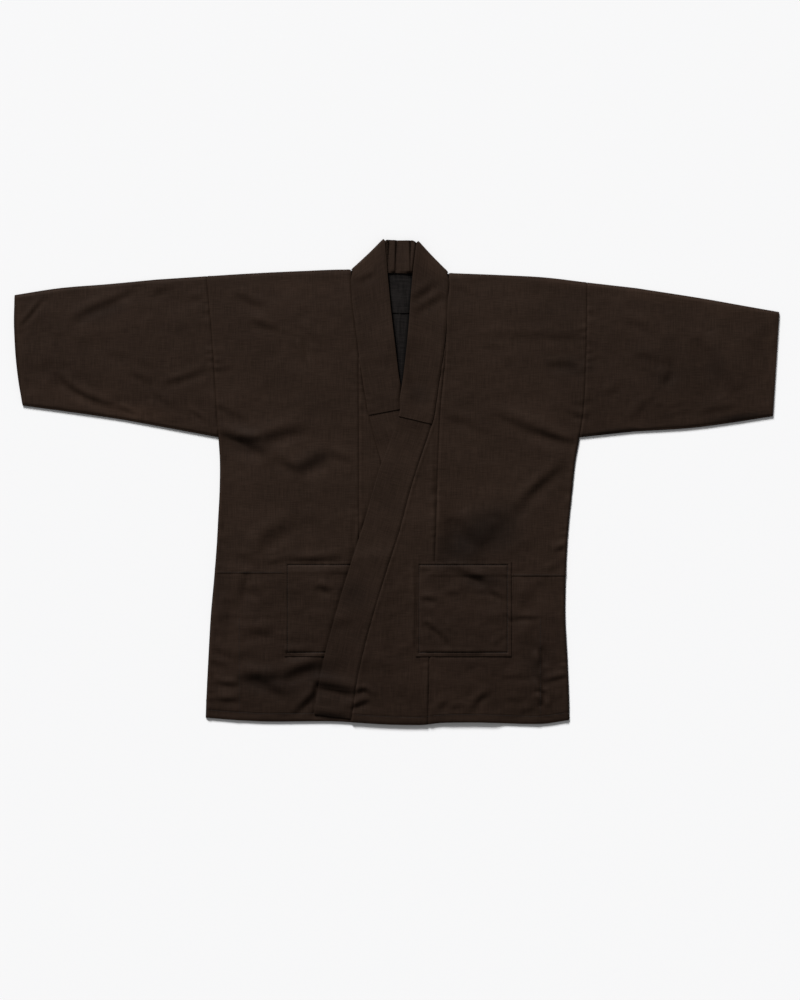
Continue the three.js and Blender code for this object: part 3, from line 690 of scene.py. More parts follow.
def bell(distance, width):
    return np.exp(-((distance / width) ** 2))


def broken(places, values):
    order = np.argsort(places)
    places, values = np.array(places)[order], np.array(values)[order]
    return lambda at: np.interp(at, places, values)


shoulder_y = curve(SHOULDER)
hem_y = curve(HEM)
side_lines = columns_of(SIDE, 1, 2)
side_x = {"right": curve(side_lines[0]), "left": curve(side_lines[1])}
seam_lines = columns_of(PANEL_SEAM, 1, 2, 3)
panel_seam_x = {"right": curve(seam_lines[0]), "left": curve(seam_lines[1])}
back_seam_x = curve(seam_lines[2])
arms = {"right": dense(RIGHT_ARM, ARM_STEPS), "left": dense(LEFT_ARM, ARM_STEPS)}
neck_band = dense(NECK_BAND, NECK_STEPS)
collar_seam_x = {
    side: broken([NECK_CORNER[side][1], *arms[side][:, 1]], [NECK_CORNER[side][0], *arms[side][:, 0]])
    for side in SIDES
}
collar_free_x = {side: broken(arms[side][:, 3], arms[side][:, 2]) for side in SIDES}
neck_seam_y = broken(neck_band[:, 0], neck_band[:, 1])


def row_y(row, x):
    """Height of a row of the body at a place across: 0 is the shoulder fold and 4 the hem."""
    row, x = np.broadcast_arrays(row, x)
    level = [np.full(x.shape, y) for y in (UNDERARM_Y, POCKET_TOP, POCKET_BOTTOM)]
    edges = [shoulder_y(x), *level, hem_y(x)]
    zone = np.clip(np.floor(row).astype(int), 0, 3)
    upper, lower = np.choose(zone, edges[:4]), np.choose(zone, edges[1:])
    return upper + (lower - upper) * (row - zone)


def crossing(row, line):
    """Where a line that runs down the body crosses each row."""
    x = np.full(np.shape(row), float(line(UNDERARM_Y)))
    for _ in range(CROSSING_ROUNDS):
        x = line(row_y(row, x))
    return x


def front_edge(side, row):
    """The front's inner edge: the collar seam, and lower down the overlap panel's seam."""
    at_collar, at_panel = crossing(row, collar_seam_x[side]), crossing(row, panel_seam_x[side])
    return np.minimum(at_collar, at_panel) if side == "right" else np.maximum(at_collar, at_panel)


def outline():
    """The line that front and back share, as short straight pieces."""
    lines = [HEM]
    for side in SIDES:
        sleeve, sign = SLEEVES[side], -INWARD[side]
        near = sorted((p for p in SHOULDER if p[0] * sign > 0), key=lambda p: abs(p[0]))
        below = [(p[1 if side == "right" else 2], p[0]) for p in SIDE if p[0] <= UNDERARM_Y]
        lines.append([*near, *((row[0], row[1]) for row in sleeve)])
        lines.append([(sleeve[-1][0], sleeve[-1][1]), (sleeve[-1][2], sleeve[-1][3])])
        lines.append([*((row[2], row[3]) for row in reversed(sleeve)), *below])
    return [(line[i], line[i + 1]) for line in lines for i in range(len(line) - 1)]


OUTLINE = outline()


def nearest(a, b, x, y):
    """Distance from each point to a straight piece, and how far along the piece it is nearest."""
    dx, dy = b[0] - a[0], b[1] - a[1]
    t = np.clip(((x - a[0]) * dx + (y - a[1]) * dy) / (dx * dx + dy * dy), 0, 1)
    return np.hypot(x - a[0] - dx * t, y - a[1] - dy * t), t


def outline_distance(x, y):
    least = np.full(x.shape, FAR)
    for a, b in OUTLINE:
        least = np.minimum(least, nearest(a, b, x, y)[0])
    return least


def crease_height(x, y, creases=CREASES):
    """The placed creases: high on the side that faces the light, low on the other."""
    total = np.zeros(x.shape)
    for x0, y0, xm, ym, x1, y1, rise, width in creases:
        reach = CREASE_REACH * width
        close = (
            (x > min(x0, xm, x1) - reach) & (x < max(x0, xm, x1) + reach)
            & (y > min(y0, ym, y1) - reach) & (y < max(y0, ym, y1) + reach)
        )
        if not close.any():
            continue
        px, py = x[close], y[close]
        s = np.linspace(0, 1, CREASE_PIECES + 1)
        bend = (2 * xm - (x0 + x1) / 2, 2 * ym - (y0 + y1) / 2)
        path = np.column_stack([
            (1 - s) ** 2 * x0 + 2 * s * (1 - s) * bend[0] + s * s * x1,
            (1 - s) ** 2 * y0 + 2 * s * (1 - s) * bend[1] + s * s * y1,
        ])
        facing = np.sign(-(y1 - y0) * LIT_SIDE[0] + (x1 - x0) * LIT_SIDE[1])
        best, along, across = np.full(px.shape, FAR), np.zeros(px.shape), np.zeros(px.shape)
        for i in range(CREASE_PIECES):
            a, b = path[i], path[i + 1]
            distance, t = nearest(a, b, px, py)
            dx, dy = (b - a) / np.hypot(*(b - a))
            offset = (-(px - a[0]) * dy + (py - a[1]) * dx) * facing
            nearer = distance < best
            best = np.where(nearer, distance, best)
            along = np.where(nearer, (i + t) / CREASE_PIECES, along)
            across = np.where(nearer, offset, across)
        taper = np.sin(np.pi * np.clip(along, 0, 1)) ** CREASE_TAPER
        side = np.clip(across, -best, best) / width
        total[close] += rise * side * np.exp(0.5 - 0.5 * (best / width) ** 2) * taper
    return total


def uneven(x, y):
    total = np.zeros(x.shape)
    crumpled = 1 + CRUMPLE * smooth((CRUMPLED_FROM[0] - y) / (CRUMPLED_FROM[0] - CRUMPLED_FROM[1]))
    for height, wide, long, depth in UNEVEN:
        pattern = [noise.noise(Vector((px / wide, py / long, depth))) for px, py in zip(x.ravel(), y.ravel())]
        total += height * np.reshape(pattern, x.shape) * (crumpled if wide < LARGE_PATTERN else 1)
    return total


def loft(x, y):
    """Air, creases and unevenness, the same for every layer of the front."""
    inward = outline_distance(x, y)
    air = EDGE_AIR + (AIR - EDGE_AIR) * smooth(inward / AIR_FADE)
    free = air + (crease_height(x, y) + uneven(x, y)) * smooth(inward / CREASE_FADE)
    return smooth(inward / EDGE_FADE) * (free + np.sqrt(free * free + AIR_SOFTNESS)) / 2


def sewn_step(beyond, width, fade):
    """A step up beyond a line, so wide, from which the cloth comes down again further on."""
    return smooth(0.5 + beyond / width) * bell(np.maximum(beyond, 0), fade)


def hem_step(x, y, sizes):
    return -sizes.hem_dip / MM * sewn_step(sizes.hem / MM - (y - hem_y(x)), HEM_STEP, HEM_FADE)


def covers(inside):
    return smooth((inside + CLEAR + SLOPE) / SLOPE)


def pocket_edge(side, x, y):
    """Distance inward from a pocket's edge."""
    across = np.minimum(x - POCKET_X[side][0], POCKET_X[side][1] - x)
    return np.minimum(across, np.minimum(y - POCKET_BOTTOM, POCKET_TOP - y))


def lap_base(x, y):
    """What the left front lies on: the right front, its collar, its over-collar and its pocket."""
    over_front = covers(collar_free_x["right"](y) - x)
    over_band = np.minimum(over_front, covers(x - collar_seam_x["right"](y)))
    over_over_band = np.minimum(over_band, covers(y - RIGHT_ARM[OVER_END][1]))
    over_pocket = covers(pocket_edge("right", x, y))
    stack = over_front * (CLOTH + LAYER_GAP) + over_band * (BAND - CLOTH)
    stack += over_over_band * (OVER_BAND + SEAM_GAP) + over_pocket * (PATCH_LIFT + POCKET_PUFF)
    return FRONT_REST + stack


def front_base(side, x, y):
    return np.full(x.shape, FRONT_REST) if side == "right" else lap_base(x, y)


def at_neck(y):
    return smooth((y - NECK_DOWN[0]) / (NECK_DOWN[1] - NECK_DOWN[0]))


def neck_edge(free, y):
    rise, width, start, length = NECK_EDGE_RISE
    return rise * bell(free, width) * smooth((y - start) / length)


def arm_bottom(side, x, y):
    base = FRONT_REST + (NECK_UPPER_Z - BAND / 2 - FRONT_REST) * at_neck(y)
    if side == "left":
        base = np.maximum(base, lap_base(x, y))
    else:
        depth, width, top, top_fade, bottom, bottom_fade = ARM_DIP
        dip = depth * bell(x - collar_free_x["left"](y) - EDGE_TO_DIP, width)
        base = base - dip * smooth((top - y) / top_fade) * smooth((y - bottom) / bottom_fade)
    return base + loft(x, y) * (1 - at_neck(y)) + crease_height(x, y, COLLAR_CREASES)


def front_extras(side, x, y, sizes):
    """Sewn and pressed lines of a front: tuck, vent, pocket edges, and the dip beside the upper band."""
    total = np.zeros(x.shape)
    for line_side, start, end, height, depth, width in CROSS_LINES:
        if line_side == side:
            reach = smooth(np.minimum(x - start, end - x) / CROSS_FADE)
            total += depth * reach * sewn_step(y - height, width, TUCK_FADE)
    for line_side, place, depth, width in VENT_LINES:
        if line_side == side:
            total += depth * sewn_step(place - x, width, TUCK_FADE) * smooth((VENT_TOP - y) / VENT_FADE)
    edge = pocket_edge(side, x, y)
    total -= POCKET_GROOVE[0] * bell(edge - sizes.pocket_inset / MM, POCKET_GROOVE[1])
    total -= POCKET_DIP[0] * bell(edge + POCKET_DIP[1], POCKET_DIP[2])
    if side == "right":
        depth, width, share, start, length = BAND_DIP
        dip = depth * bell(x - collar_free_x["left"](y) - EDGE_TO_DIP, width)
        dip *= share + (1 - share) * smooth((start - y) / length)
        total -= dip * smooth((y - BAND_DIP_END[0]) / (BAND_DIP_END[1] - BAND_DIP_END[0]))
    return total


def front_top(side, x, y, sizes):
    height = front_base(side, x, y) + loft(x, y) + hem_step(x, y, sizes) + CLOTH
    return np.maximum(height + front_extras(side, x, y, sizes), LOWEST_FRONT)


def seam(distance, sizes):
    """The cloth sinks at a seam and swells beside it."""
    sink = sizes.seam_depth / MM * bell(distance, SEAM_GROOVE)
    return sizes.seam_puff / MM * bell(distance - SEAM_SWELL[0], SEAM_SWELL[1]) - sink


def puckers(distance, along, seam_name, sizes):
    """Short uneven puckers that run away from a seam."""
    strength, seed = PUCKERED[seam_name]
    pitch, drift, swell, group = PUCKER_LENGTHS
    wave = np.sin(along / pitch + PUCKER_DRIFT * np.sin(along / drift + seed))
    wave *= 1 - PUCKER_SWELL + PUCKER_SWELL * np.sin(along / swell + 2 * seed)
    reach = bell(distance - PUCKER_STRIP[0], PUCKER_STRIP[1]) * smooth(0.5 + np.sin(along / group + 3 * seed))
    return strength * sizes.pucker / MM * wave * reach


def spread(width, step):
    """Fractions of a width, close together at both ends."""
    ends = np.array(EDGE_STEPS) / width
    count = max(2, round((width - 2 * EDGE_STEPS[-1]) / step))
    return np.concatenate([ends[:-1], np.linspace(ends[-1], 1 - ends[-1], count + 1), 1 - ends[-2::-1]])


def body_rows(step, start=0.0):
    rows = [4.0]
    for zone, length in enumerate(ZONE_LENGTHS):
        rows.extend(zone + np.linspace(0, 1, round(length / step), endpoint=False))
    height, beside = TUCK_ROWS
    tuck = 2 + (POCKET_TOP - height) / ZONE_LENGTHS[2]
    rows.extend(tuck + np.arange(-beside, beside + 1) / ZONE_LENGTHS[2])
    rows.extend(4 - np.array(HEM_ROWS) / ZONE_LENGTHS[3])
    rows = np.unique(np.round(rows, 4))
    return np.concatenate([[start], rows[rows > start + LEAST_ROW]])


def front_points(side, row, x, sizes):
    """Points on the middle of the front's cloth, in rows and columns."""
    y = row_y(row[:, None], x)
    z = front_top(side, x, y, sizes) - CLOTH / 2
    outer, inner = np.abs(x - x[:, :1]), np.abs(x - x[:, -1:])
    z += seam(outer, sizes) + seam(inner, sizes)
    z += puckers(outer, y, f"outer_{side}", sizes) + puckers(inner, y, f"inner_{side}", sizes)
    return np.stack([x, y, z], axis=-1)


def half_turn(x, y, lower, upper, outward):
    """Points of a fold from a lower layer to an upper one, without its first and last."""
    angle = np.linspace(0, np.pi, FOLD_STEPS + 1)[1:-1][:, None]
    radius = (upper - lower) / 2
    out = np.sin(angle) * radius
    points = x + outward[0] * out, y + outward[1] * out, lower + radius * (1 - np.cos(angle))
    return np.stack(np.broadcast_arrays(*points), axis=-1)


def back_height(x, y):
    rise = np.zeros(x.shape)
    for px, py, height, wide, long in BACK_RISES:
        rise += height * bell(x - px, wide) * bell(y - py, long)
    middle_seam = BACK_SEAM[0] * bell(x - back_seam_x(y), BACK_SEAM[1])
    return CLOTH / 2 + rise * smooth(outline_distance(x, y) / BACK_FADE) + middle_seam


def in_plan(*grids):
    """Grids with their UV maps laid out as they are seen from above."""
    return [(points, points[..., :2]) for points in grids]


def grid_object(points, uv):
    """A grid added, with its vertices and its UV map placed by rows and columns of points."""
    rows, columns = points.shape[:2]
    bpy.ops.mesh.primitive_grid_add(x_subdivisions=columns - 1, y_subdivisions=rows - 1, size=1)
    grid = bpy.context.active_object
    mesh = grid.data
    if len(mesh.vertices) != rows * columns:
        raise RuntimeError(f"a grid of {rows} by {columns} points came out with {len(mesh.vertices)}")
    mesh.vertices.foreach_set("co", (points * MM).astype(np.float32).ravel())
    corner = np.empty(len(mesh.loops), dtype=np.int32)
    mesh.loops.foreach_get("vertex_index", corner)
    flat = (uv * MM).reshape(-1, 2)[corner]
    mesh.uv_layers.active.data.foreach_set("uv", flat.astype(np.float32).ravel())
    mesh.update()
    return grid


def cloth(node, grids, thickness, material, **sheet):
    """One closed wall of cloth from grids of points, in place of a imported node."""
    bpy.ops.object.select_all(action="DESELECT")
    made = [grid_object(points, uv) for points, uv in grids]
    for part in made:
        part.select_set(True)
    bpy.context.view_layer.objects.active = made[0]
    if len(made) > 1:
        bpy.ops.object.join()
    piece = bpy.context.active_object
    piece.name = piece.data.name = f"cloth_{node}"
    bpy.ops.object.mode_set(mode="EDIT")
    bpy.ops.mesh.select_all(action="SELECT")
    bpy.ops.mesh.remove_doubles(threshold=JOIN_WITHIN * MM)
    bpy.ops.mesh.normals_make_consistent(inside=False)
    bpy.ops.object.mode_set(mode="OBJECT")
    bpy.ops.object.modifier_add(type="SOLIDIFY")
    wall = piece.modifiers[-1]
    wall.thickness = thickness * MM
    wall.offset = 0
    bpy.ops.object.modifier_apply(modifier=wall.name)
    bpy.ops.object.shade_smooth_by_angle(angle=SMOOTH_BELOW)
    piece.data.materials.clear()
    piece.data.materials.append(material)
    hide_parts(node)
    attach(piece, BODY)
    return piece


def body_grids(side, sizes):
    step = sizes.grid / MM
    row = body_rows(step)
    outer, inner = crossing(row, side_x[side]), front_edge(side, row)
    fraction = spread(float(abs(inner[len(row) // 2] - outer[len(row) // 2])), step)
    x = outer[:, None] + (inner - outer)[:, None] * fraction
    front = front_points(side, row, x, sizes)
    top = front[0]
    fold = half_turn(top[:, 0], top[:, 1], CLOTH / 2, top[:, 2], (0, 1))
    back_row = np.unique(np.append(row[::BACK_EACH], row[-1]))
    back_outer = crossing(back_row, side_x[side])
    middle = crossing(back_row, back_seam_x)
    neck_x = top[-1, 0]
    under = back_outer[:, None] + (neck_x - back_outer)[:, None] * fraction
    under[0] = top[:, 0]
    to_middle = abs(float(middle[0]) - neck_x)
    share = np.linspace(0, 1, round(to_middle / (2 * step)) + 1)
    share = np.unique(np.concatenate([share[1:], 1 - np.array(EDGE_STEPS) / to_middle]))
    beyond = neck_x + (middle - neck_x)[:, None] * share
    back_x = np.concatenate([under, beyond], axis=1)
    head = np.concatenate([top[:, 1], neck_seam_y(beyond[0])])
    in_armhole = back_row[:, None] <= 1
    upper = head + (UNDERARM_Y - head) * back_row[:, None]
    back_y = np.where(in_armhole, upper, row_y(back_row[:, None], back_x))
    back_z = back_height(back_x, back_y) + BACK_SEAM[0] * bell(back_x - back_x[:, :1], BACK_SEAM[1])
    back_z[0] = CLOTH / 2
    back = np.stack([back_x, back_y, back_z], axis=-1)
    over = np.concatenate([back[:1, : len(fraction)], fold, front])
    return in_plan(over, back)


def wrong_side(piece, material):
    """Gives the faces inside the back the look of the cloth's wrong side."""
    piece.data.materials.append(material)
    count = len(piece.data.polygons)
    centre, normal = np.empty(count * 3), np.empty(count * 3)
    piece.data.polygons.foreach_get("center", centre)
    piece.data.polygons.foreach_get("normal", normal)
    x, y, z = (centre[axis::3] / MM for axis in range(3))
    at_opening = (x > NECK_FACING["right"]) & (x < NECK_FACING["left"]) & (y > NECK_OPENING_FROM)
    low, high, high_at_opening = INSIDE_Z
    inside = (z > low) & (z < np.where(at_opening, high_at_opening, high)) & (normal[2::3] > INSIDE_UP)
    piece.data.polygons.foreach_set("material_index", inside.astype(np.int32))


class JacketOperator(bpy.types.Operator):
    """What the operators of the pieces share"""

    bl_options = {"REGISTER"}

    def execute(self, context):
        self.make(context, context.scene.jacket_sizes)
        return {"FINISHED"}


class JACKET_OT_body(JacketOperator):
    """Each side's front, shoulder fold and back, in one cloth"""

    bl_idname = "jacket.body"
    bl_label = "Body panels"

    def make(self, context, sizes):
        for side in SIDES:
            grids, look = body_grids(side, sizes), cloth_look(context)
            piece = cloth(f"body_{side}", grids, CLOTH, look, flat=(0.335, 1.53), area=0.43, rests_on=[])
            wrong_side(piece, facing_look(context))


class JACKET_OT_overlap(JacketOperator):
    """The narrow panel between each front and the collar"""

    bl_idname = "jacket.overlap"
    bl_label = "Overlap panels"

    def make(self, context, sizes):
        step = sizes.grid / MM
        for side in SIDES:
            row = body_rows(step, PANEL_ROW)
            width = (crossing(row, collar_seam_x[side]) - crossing(row, panel_seam_x[side])) * INWARD[side]
            row = row[width > PANEL_WIDTH]
            start, end = crossing(row, panel_seam_x[side]), crossing(row, collar_seam_x[side])
            x = start[:, None] + (end - start)[:, None] * spread(float(abs(end[-1] - start[-1])), step)
            grids = in_plan(front_points(side, row, x, sizes))
            below = ["cloth_body_right" if side == "right" else "cloth_overlap_right"]
            sheet = {"flat": (0.17, 0.64), "area": 0.052, "rests_on": below}
            cloth(f"overlap_{side}", grids, CLOTH, cloth_look(context), **sheet)


def sleeve_points(side, sizes):
    step = sizes.grid / MM
    table = dense(SLEEVES[side], SLEEVE_STEPS)
    first = np.array((*EDGE_STEPS, *np.arange(EDGE_STEPS[-1] + step, SLEEVE_REACH, step))) / SLEEVE_REACH
    length = abs(table[-1, 0] - table[0, 0])
    beyond = np.linspace(0, len(table) - 1, round(length / step) + 1)
    lines = np.concatenate([
        np.repeat(table[:1], len(first), axis=0),
        np.column_stack([np.interp(beyond, np.arange(len(table)), column) for column in table.T]),
    ])
    near = np.concatenate([first, np.ones(len(beyond))])[:, None]
    upper_t = spread(SLEEVE_DEPTH, step)
    lower_t = np.linspace(1, 0, SLEEVE_UNDER)

    def place(t):
        armhole = crossing(t, side_x[side])
        line_x = lines[:, :1] + (lines[:, 2:3] - lines[:, :1]) * t + lines[:, 4:] * 4 * t * (1 - t)
        line_y = lines[:, 1:2] + (lines[:, 3:4] - lines[:, 1:2]) * t
        x = armhole + (line_x - armhole) * near
        y = row_y(t, armhole)
        return x, y + (line_y - y) * near, np.abs(x - armhole)

    x, y, from_seam = place(upper_t)
    z = FRONT_REST + loft(x, y) + CLOTH / 2 + seam(from_seam, sizes) + puckers(from_seam, y, "sleeve", sizes)
    z[:, [0, -1]] = FRONT_REST + CLOTH / 2
    upper = np.stack([x, y, z], axis=-1)
    low_x, low_y, low_seam = place(lower_t)
    low_rise = BACK_SEAM[0] * bell(low_seam, BACK_SEAM[1])
    low_rise[:, [0, -1]] = 0
    lower = np.stack([low_x, low_y, CLOTH / 2 + low_rise], axis=-1)
    low_z = np.full(len(lines), CLOTH / 2)
    under = half_turn(x[:, -1], y[:, -1], low_z, z[:, -1], (0, -1)).transpose(1, 0, 2)[:, ::-1]
    over = half_turn(x[:, 0], y[:, 0], low_z, z[:, 0], (0, 1)).transpose(1, 0, 2)
    return np.concatenate([upper, under, lower, over, upper[:, :1]], axis=1)


class JACKET_OT_sleeves(JacketOperator):
    """Each sleeve, a flattened tube folded along the top"""

    bl_idname = "jacket.sleeves"
    bl_label = "Sleeves"

    def make(self, context, sizes):
        for side in SIDES:
            grids = in_plan(sleeve_points(side, sizes))
            sheet = {"flat": (0.36, 0.53), "area": 0.155, "rests_on": []}
            cloth(f"sleeve_{side}", grids, CLOTH, cloth_look(context), **sheet)


def pocket_top(side, x, y, sizes):
    """Height of a pocket's face, which swells inside its stitched line."""
    edge = pocket_edge(side, x, y)
    puff = POCKET_PUFF * smooth((edge - sizes.pocket_inset / MM) / POCKET_SWELL)
    puff += puckers(x - POCKET_X[side][0], y, "pocket_side", sizes)
    puff += puckers(edge, x + y, "pocket_edge", sizes)
    return front_top(side, x, y, sizes) + SEAM_GAP + CLOTH + puff


class JACKET_OT_pockets(JacketOperator):
    """The patch pocket on each front"""

    bl_idname = "jacket.pockets"
    bl_label = "Pockets"

    def make(self, context, sizes):
        step, inset = POCKET_GRID * sizes.grid / MM, sizes.pocket_inset / MM
        for side in SIDES:
            low, high = POCKET_X[side]
            across, along = high - low, POCKET_TOP - POCKET_BOTTOM
            extra = np.arange(-2, 3) + inset
            tx = np.unique(np.concatenate([spread(across, step), extra / across, 1 - extra / across]))
            ty = np.unique(np.concatenate([spread(along, step), extra / along, 1 - extra / along]))
            x, y = np.meshgrid(low + across * tx, POCKET_BOTTOM + along * ty)
            z = pocket_top(side, x, y, sizes) - CLOTH / 2
            grids = in_plan(np.stack([x, y, z], axis=-1))
            sheet = {"flat": (0.1575, 0.1565), "rests_on": [f"cloth_body_{side}", f"cloth_overlap_{side}"]}
            cloth(f"pocket_{side}", grids, CLOTH, cloth_look(context, "_pocket"), **sheet)


def across_band(sections, t):
    """Places of the points of a band's sections, from the free edge to the seam."""
    seam_x, seam_y, free_x, free_y = (column[:, None] for column in sections.T)
    return free_x + (seam_x - free_x) * t, free_y + (seam_y - free_y) * t


def band_points(lift, end_section, pleats, sizes):
    """Points of a strip along the collar, from the right arm's end round the neck to the left one's."""
    t = spread(BAND_WIDTH, BAND_GRID * sizes.grid / MM)
    free, stitched = t * BAND_WIDTH, (1 - t) * BAND_WIDTH
    profile = seam(stitched, sizes) * BAND_SEAM - BAND_EDGE[0] * bell(free, BAND_EDGE[1])
    strips = {}
    for side in SIDES:
        x, y = across_band(arms[side][: end_section * ARM_STEPS + 1], t)
        z = arm_bottom(side, x, y) + BAND / 2 + lift + hem_step(x, y, sizes)
        z += profile + neck_edge(free, y) + puckers(stitched, y, "band", sizes)
        strips[side] = np.stack([x, y, z], axis=-1)
    lower, upper = NECK_LOWER_Z - lift, NECK_UPPER_Z + lift + profile + neck_edge(free, neck_band[0, 1])
    x, y = across_band(neck_band, t)
    z = np.full(x.shape, lower)
    if pleats:
        for place, lean, rise, before, after in NECK_PLEATS:
            beyond = x - place - lean * t
            width = np.where(beyond < 0, before, after)
            z += rise * bell(beyond, width) * (1 - PLEAT_EASE * t) * smooth((1 - t) * PLEAT_FADE)
        rise, width, middle, half, fade = NECK_SEAM_RISE
        z += rise * bell(stitched, width) * smooth((half - np.abs(x - middle)) / fade)
    neck = np.stack([x, y, z], axis=-1)
    turns = {}
    for side, row in (("right", 0), ("left", -1)):
        edge = neck[row, -1, :2] - neck[row, 0, :2]
        outward = np.array((edge[1], -edge[0])) / np.hypot(*edge)
        outward *= np.sign(outward[1])
        fold = half_turn(neck[row, :, 0], neck[row, :, 1], lower, upper, outward)
        last = np.column_stack([neck[row, :, :2], upper])
        turns[side] = np.concatenate([fold, last[None]])
    return np.concatenate([
        strips["right"][::-1], turns["right"][::-1], neck, turns["left"], strips["left"],
    ]), t * BAND_WIDTH


def collar_piece(node, points, across, thickness, context, **sheet):
    """A band of cloth whose UV map follows its length."""
    middle = points[:, points.shape[1] // 2]
    length = np.concatenate([[0], np.cumsum(np.linalg.norm(np.diff(middle, axis=0), axis=1))])
    uv = np.stack(np.broadcast_arrays(across[None, :], length[:, None]), axis=-1)
    cloth(node, [(points, uv)], thickness, cloth_look(context, "_band"), **sheet)


class JACKET_OT_collar(JacketOperator):
    """The long collar band, in one strip round the neck"""

    bl_idname = "jacket.collar"
    bl_label = "Collar"

    def make(self, context, sizes):
        points, across = band_points(0, len(RIGHT_ARM) - 1, True, sizes)
        under = ["cloth_body_right", "cloth_body_left", "cloth_overlap_right"]
        sheet = {"flat": (0.0605, 1.72), "area": 0.1005, "rests_on": under}
        collar_piece("collar", points, across, BAND, context, **sheet)


class JACKET_OT_over_collar(JacketOperator):
    """The shorter over-collar on the upper part of the band"""

    bl_idname = "jacket.over_collar"
    bl_label = "Over-collar"

    def make(self, context, sizes):
        lift = BAND / 2 + SEAM_GAP + OVER_BAND / 2
        points, across = band_points(lift, OVER_END, False, sizes)
        sheet = {"flat": (0.062, 0.68), "area": 0.0405, "rests_on": ["cloth_collar"]}
        collar_piece("over_collar", points, across, OVER_BAND, context, **sheet)


class JACKET_OT_neck_facing(JacketOperator):
    """The facing inside, below the back of the neck"""

    bl_idname = "jacket.neck_facing"
    bl_label = "Neck facing"

    def make(self, context, sizes):
        width = NECK_FACING["left"] - NECK_FACING["right"]
        tx, ty = spread(width, FACING_GRID), spread(FACING_HEIGHT, FACING_GRID)
        x = np.broadcast_to(NECK_FACING["right"] + width * tx, (len(ty), len(tx)))
        top = np.minimum(NECK_FACING["top"], neck_seam_y(x[0]) - SEAM_GAP)
        y = top + (NECK_FACING["bottom"] - top) * ty[:, None]
        from_seam = x - back_seam_x(y)
        (puff, sink), (line_depth, line_y, line_width) = FACING_SEAM, FACING_LINE
        share, bottom_fade, top_fade = FACING_UNEVEN
        z = BACK_TOP + SEAM_GAP + FACING / 2 + back_height(x, y) - CLOTH / 2
        z += puff * bell(from_seam - SEAM_SWELL[0], SEAM_SWELL[1]) - sink * bell(from_seam, SEAM_GROOVE)
        z -= line_depth * bell(y - line_y, line_width)
        z += (share * uneven(x, y) * smooth((y - NECK_FACING["bottom"]) / bottom_fade)
              * smooth((top - y) / top_fade))
        grids = in_plan(np.stack([x, y, z], axis=-1))
        sheet = {"flat": (0.092, 0.0655), "rests_on": ["cloth_body_right", "cloth_body_left"]}
        cloth("neck_facing", grids, FACING, facing_look(context), **sheet)


def sewn_lines(sizes):
    """Every line of stitches on the face: its points with their height."""
    inset = sizes.pocket_inset / MM
    lines = {"hem": [], "pocket": [], "waist": [], "neck": []}

    def on_front(group, side, x, y):
        x, y = np.broadcast_arrays(x, y)
        lines[group].append((x, y, front_top(side, x, y, sizes)))

    for side, start, end in HEM_STITCHES:
        x = np.arange(start, end, 1.0)
        on_front("hem", side, x, hem_y(x) + sizes.hem / MM - HEM_STITCHES_BELOW)
    for side in SIDES:
        low, high = POCKET_X[side][0] + inset, POCKET_X[side][1] - inset
        top, bottom = POCKET_TOP - inset, POCKET_BOTTOM + inset
        corners = ((low, top), (low, bottom), (high, bottom), (high, top), (low, top))
        for a, b in zip(corners, corners[1:]):
            x, y = np.linspace(a, b, POCKET_STITCHED).T
            lines["pocket"].append((x, y, pocket_top(side, x, y, sizes)))
    for side, start, end, height in TUCK_STITCHES:
        on_front("waist", side, np.arange(start, end, 1.0), height)
    for side, place, _, _ in VENT_LINES:
        beside, lowest = VENT_STITCHES
        on_front("waist", side, place - beside, np.arange(VENT_TOP, lowest, -1.0))
    for height in FACING_STITCHES:
        x = np.arange(*FACING_STITCHED, 1.0)
        lines["neck"].append(np.broadcast_arrays(x, height, BACK_TOP + SEAM_GAP + FACING))
    return lines


def stitches_along(line, template, sizes):
    """Copies of the stitch along one line, laid on its slope."""
    points = np.column_stack(line)
    gone = np.concatenate([[0], np.cumsum(np.linalg.norm(np.diff(points, axis=0), axis=1))])
    pitch, length = sizes.stitch_pitch / MM, sizes.stitch_length / MM
    copies = []
    for start in np.arange(FIRST_STITCH, gone[-1] - length, pitch):
        ends = np.array([np.interp((start, start + length), gone, column) for column in points.T])
        a, b = ends.T
        along = (b - a) / np.linalg.norm(b - a)
        side = np.cross((0, 0, 1), along)
        side /= np.linalg.norm(side)
        up = np.cross(along, side)
        copies.append((a + b) / 2 + up * STITCH_LIFT + template @ np.array([along, side, up]))
    return copies


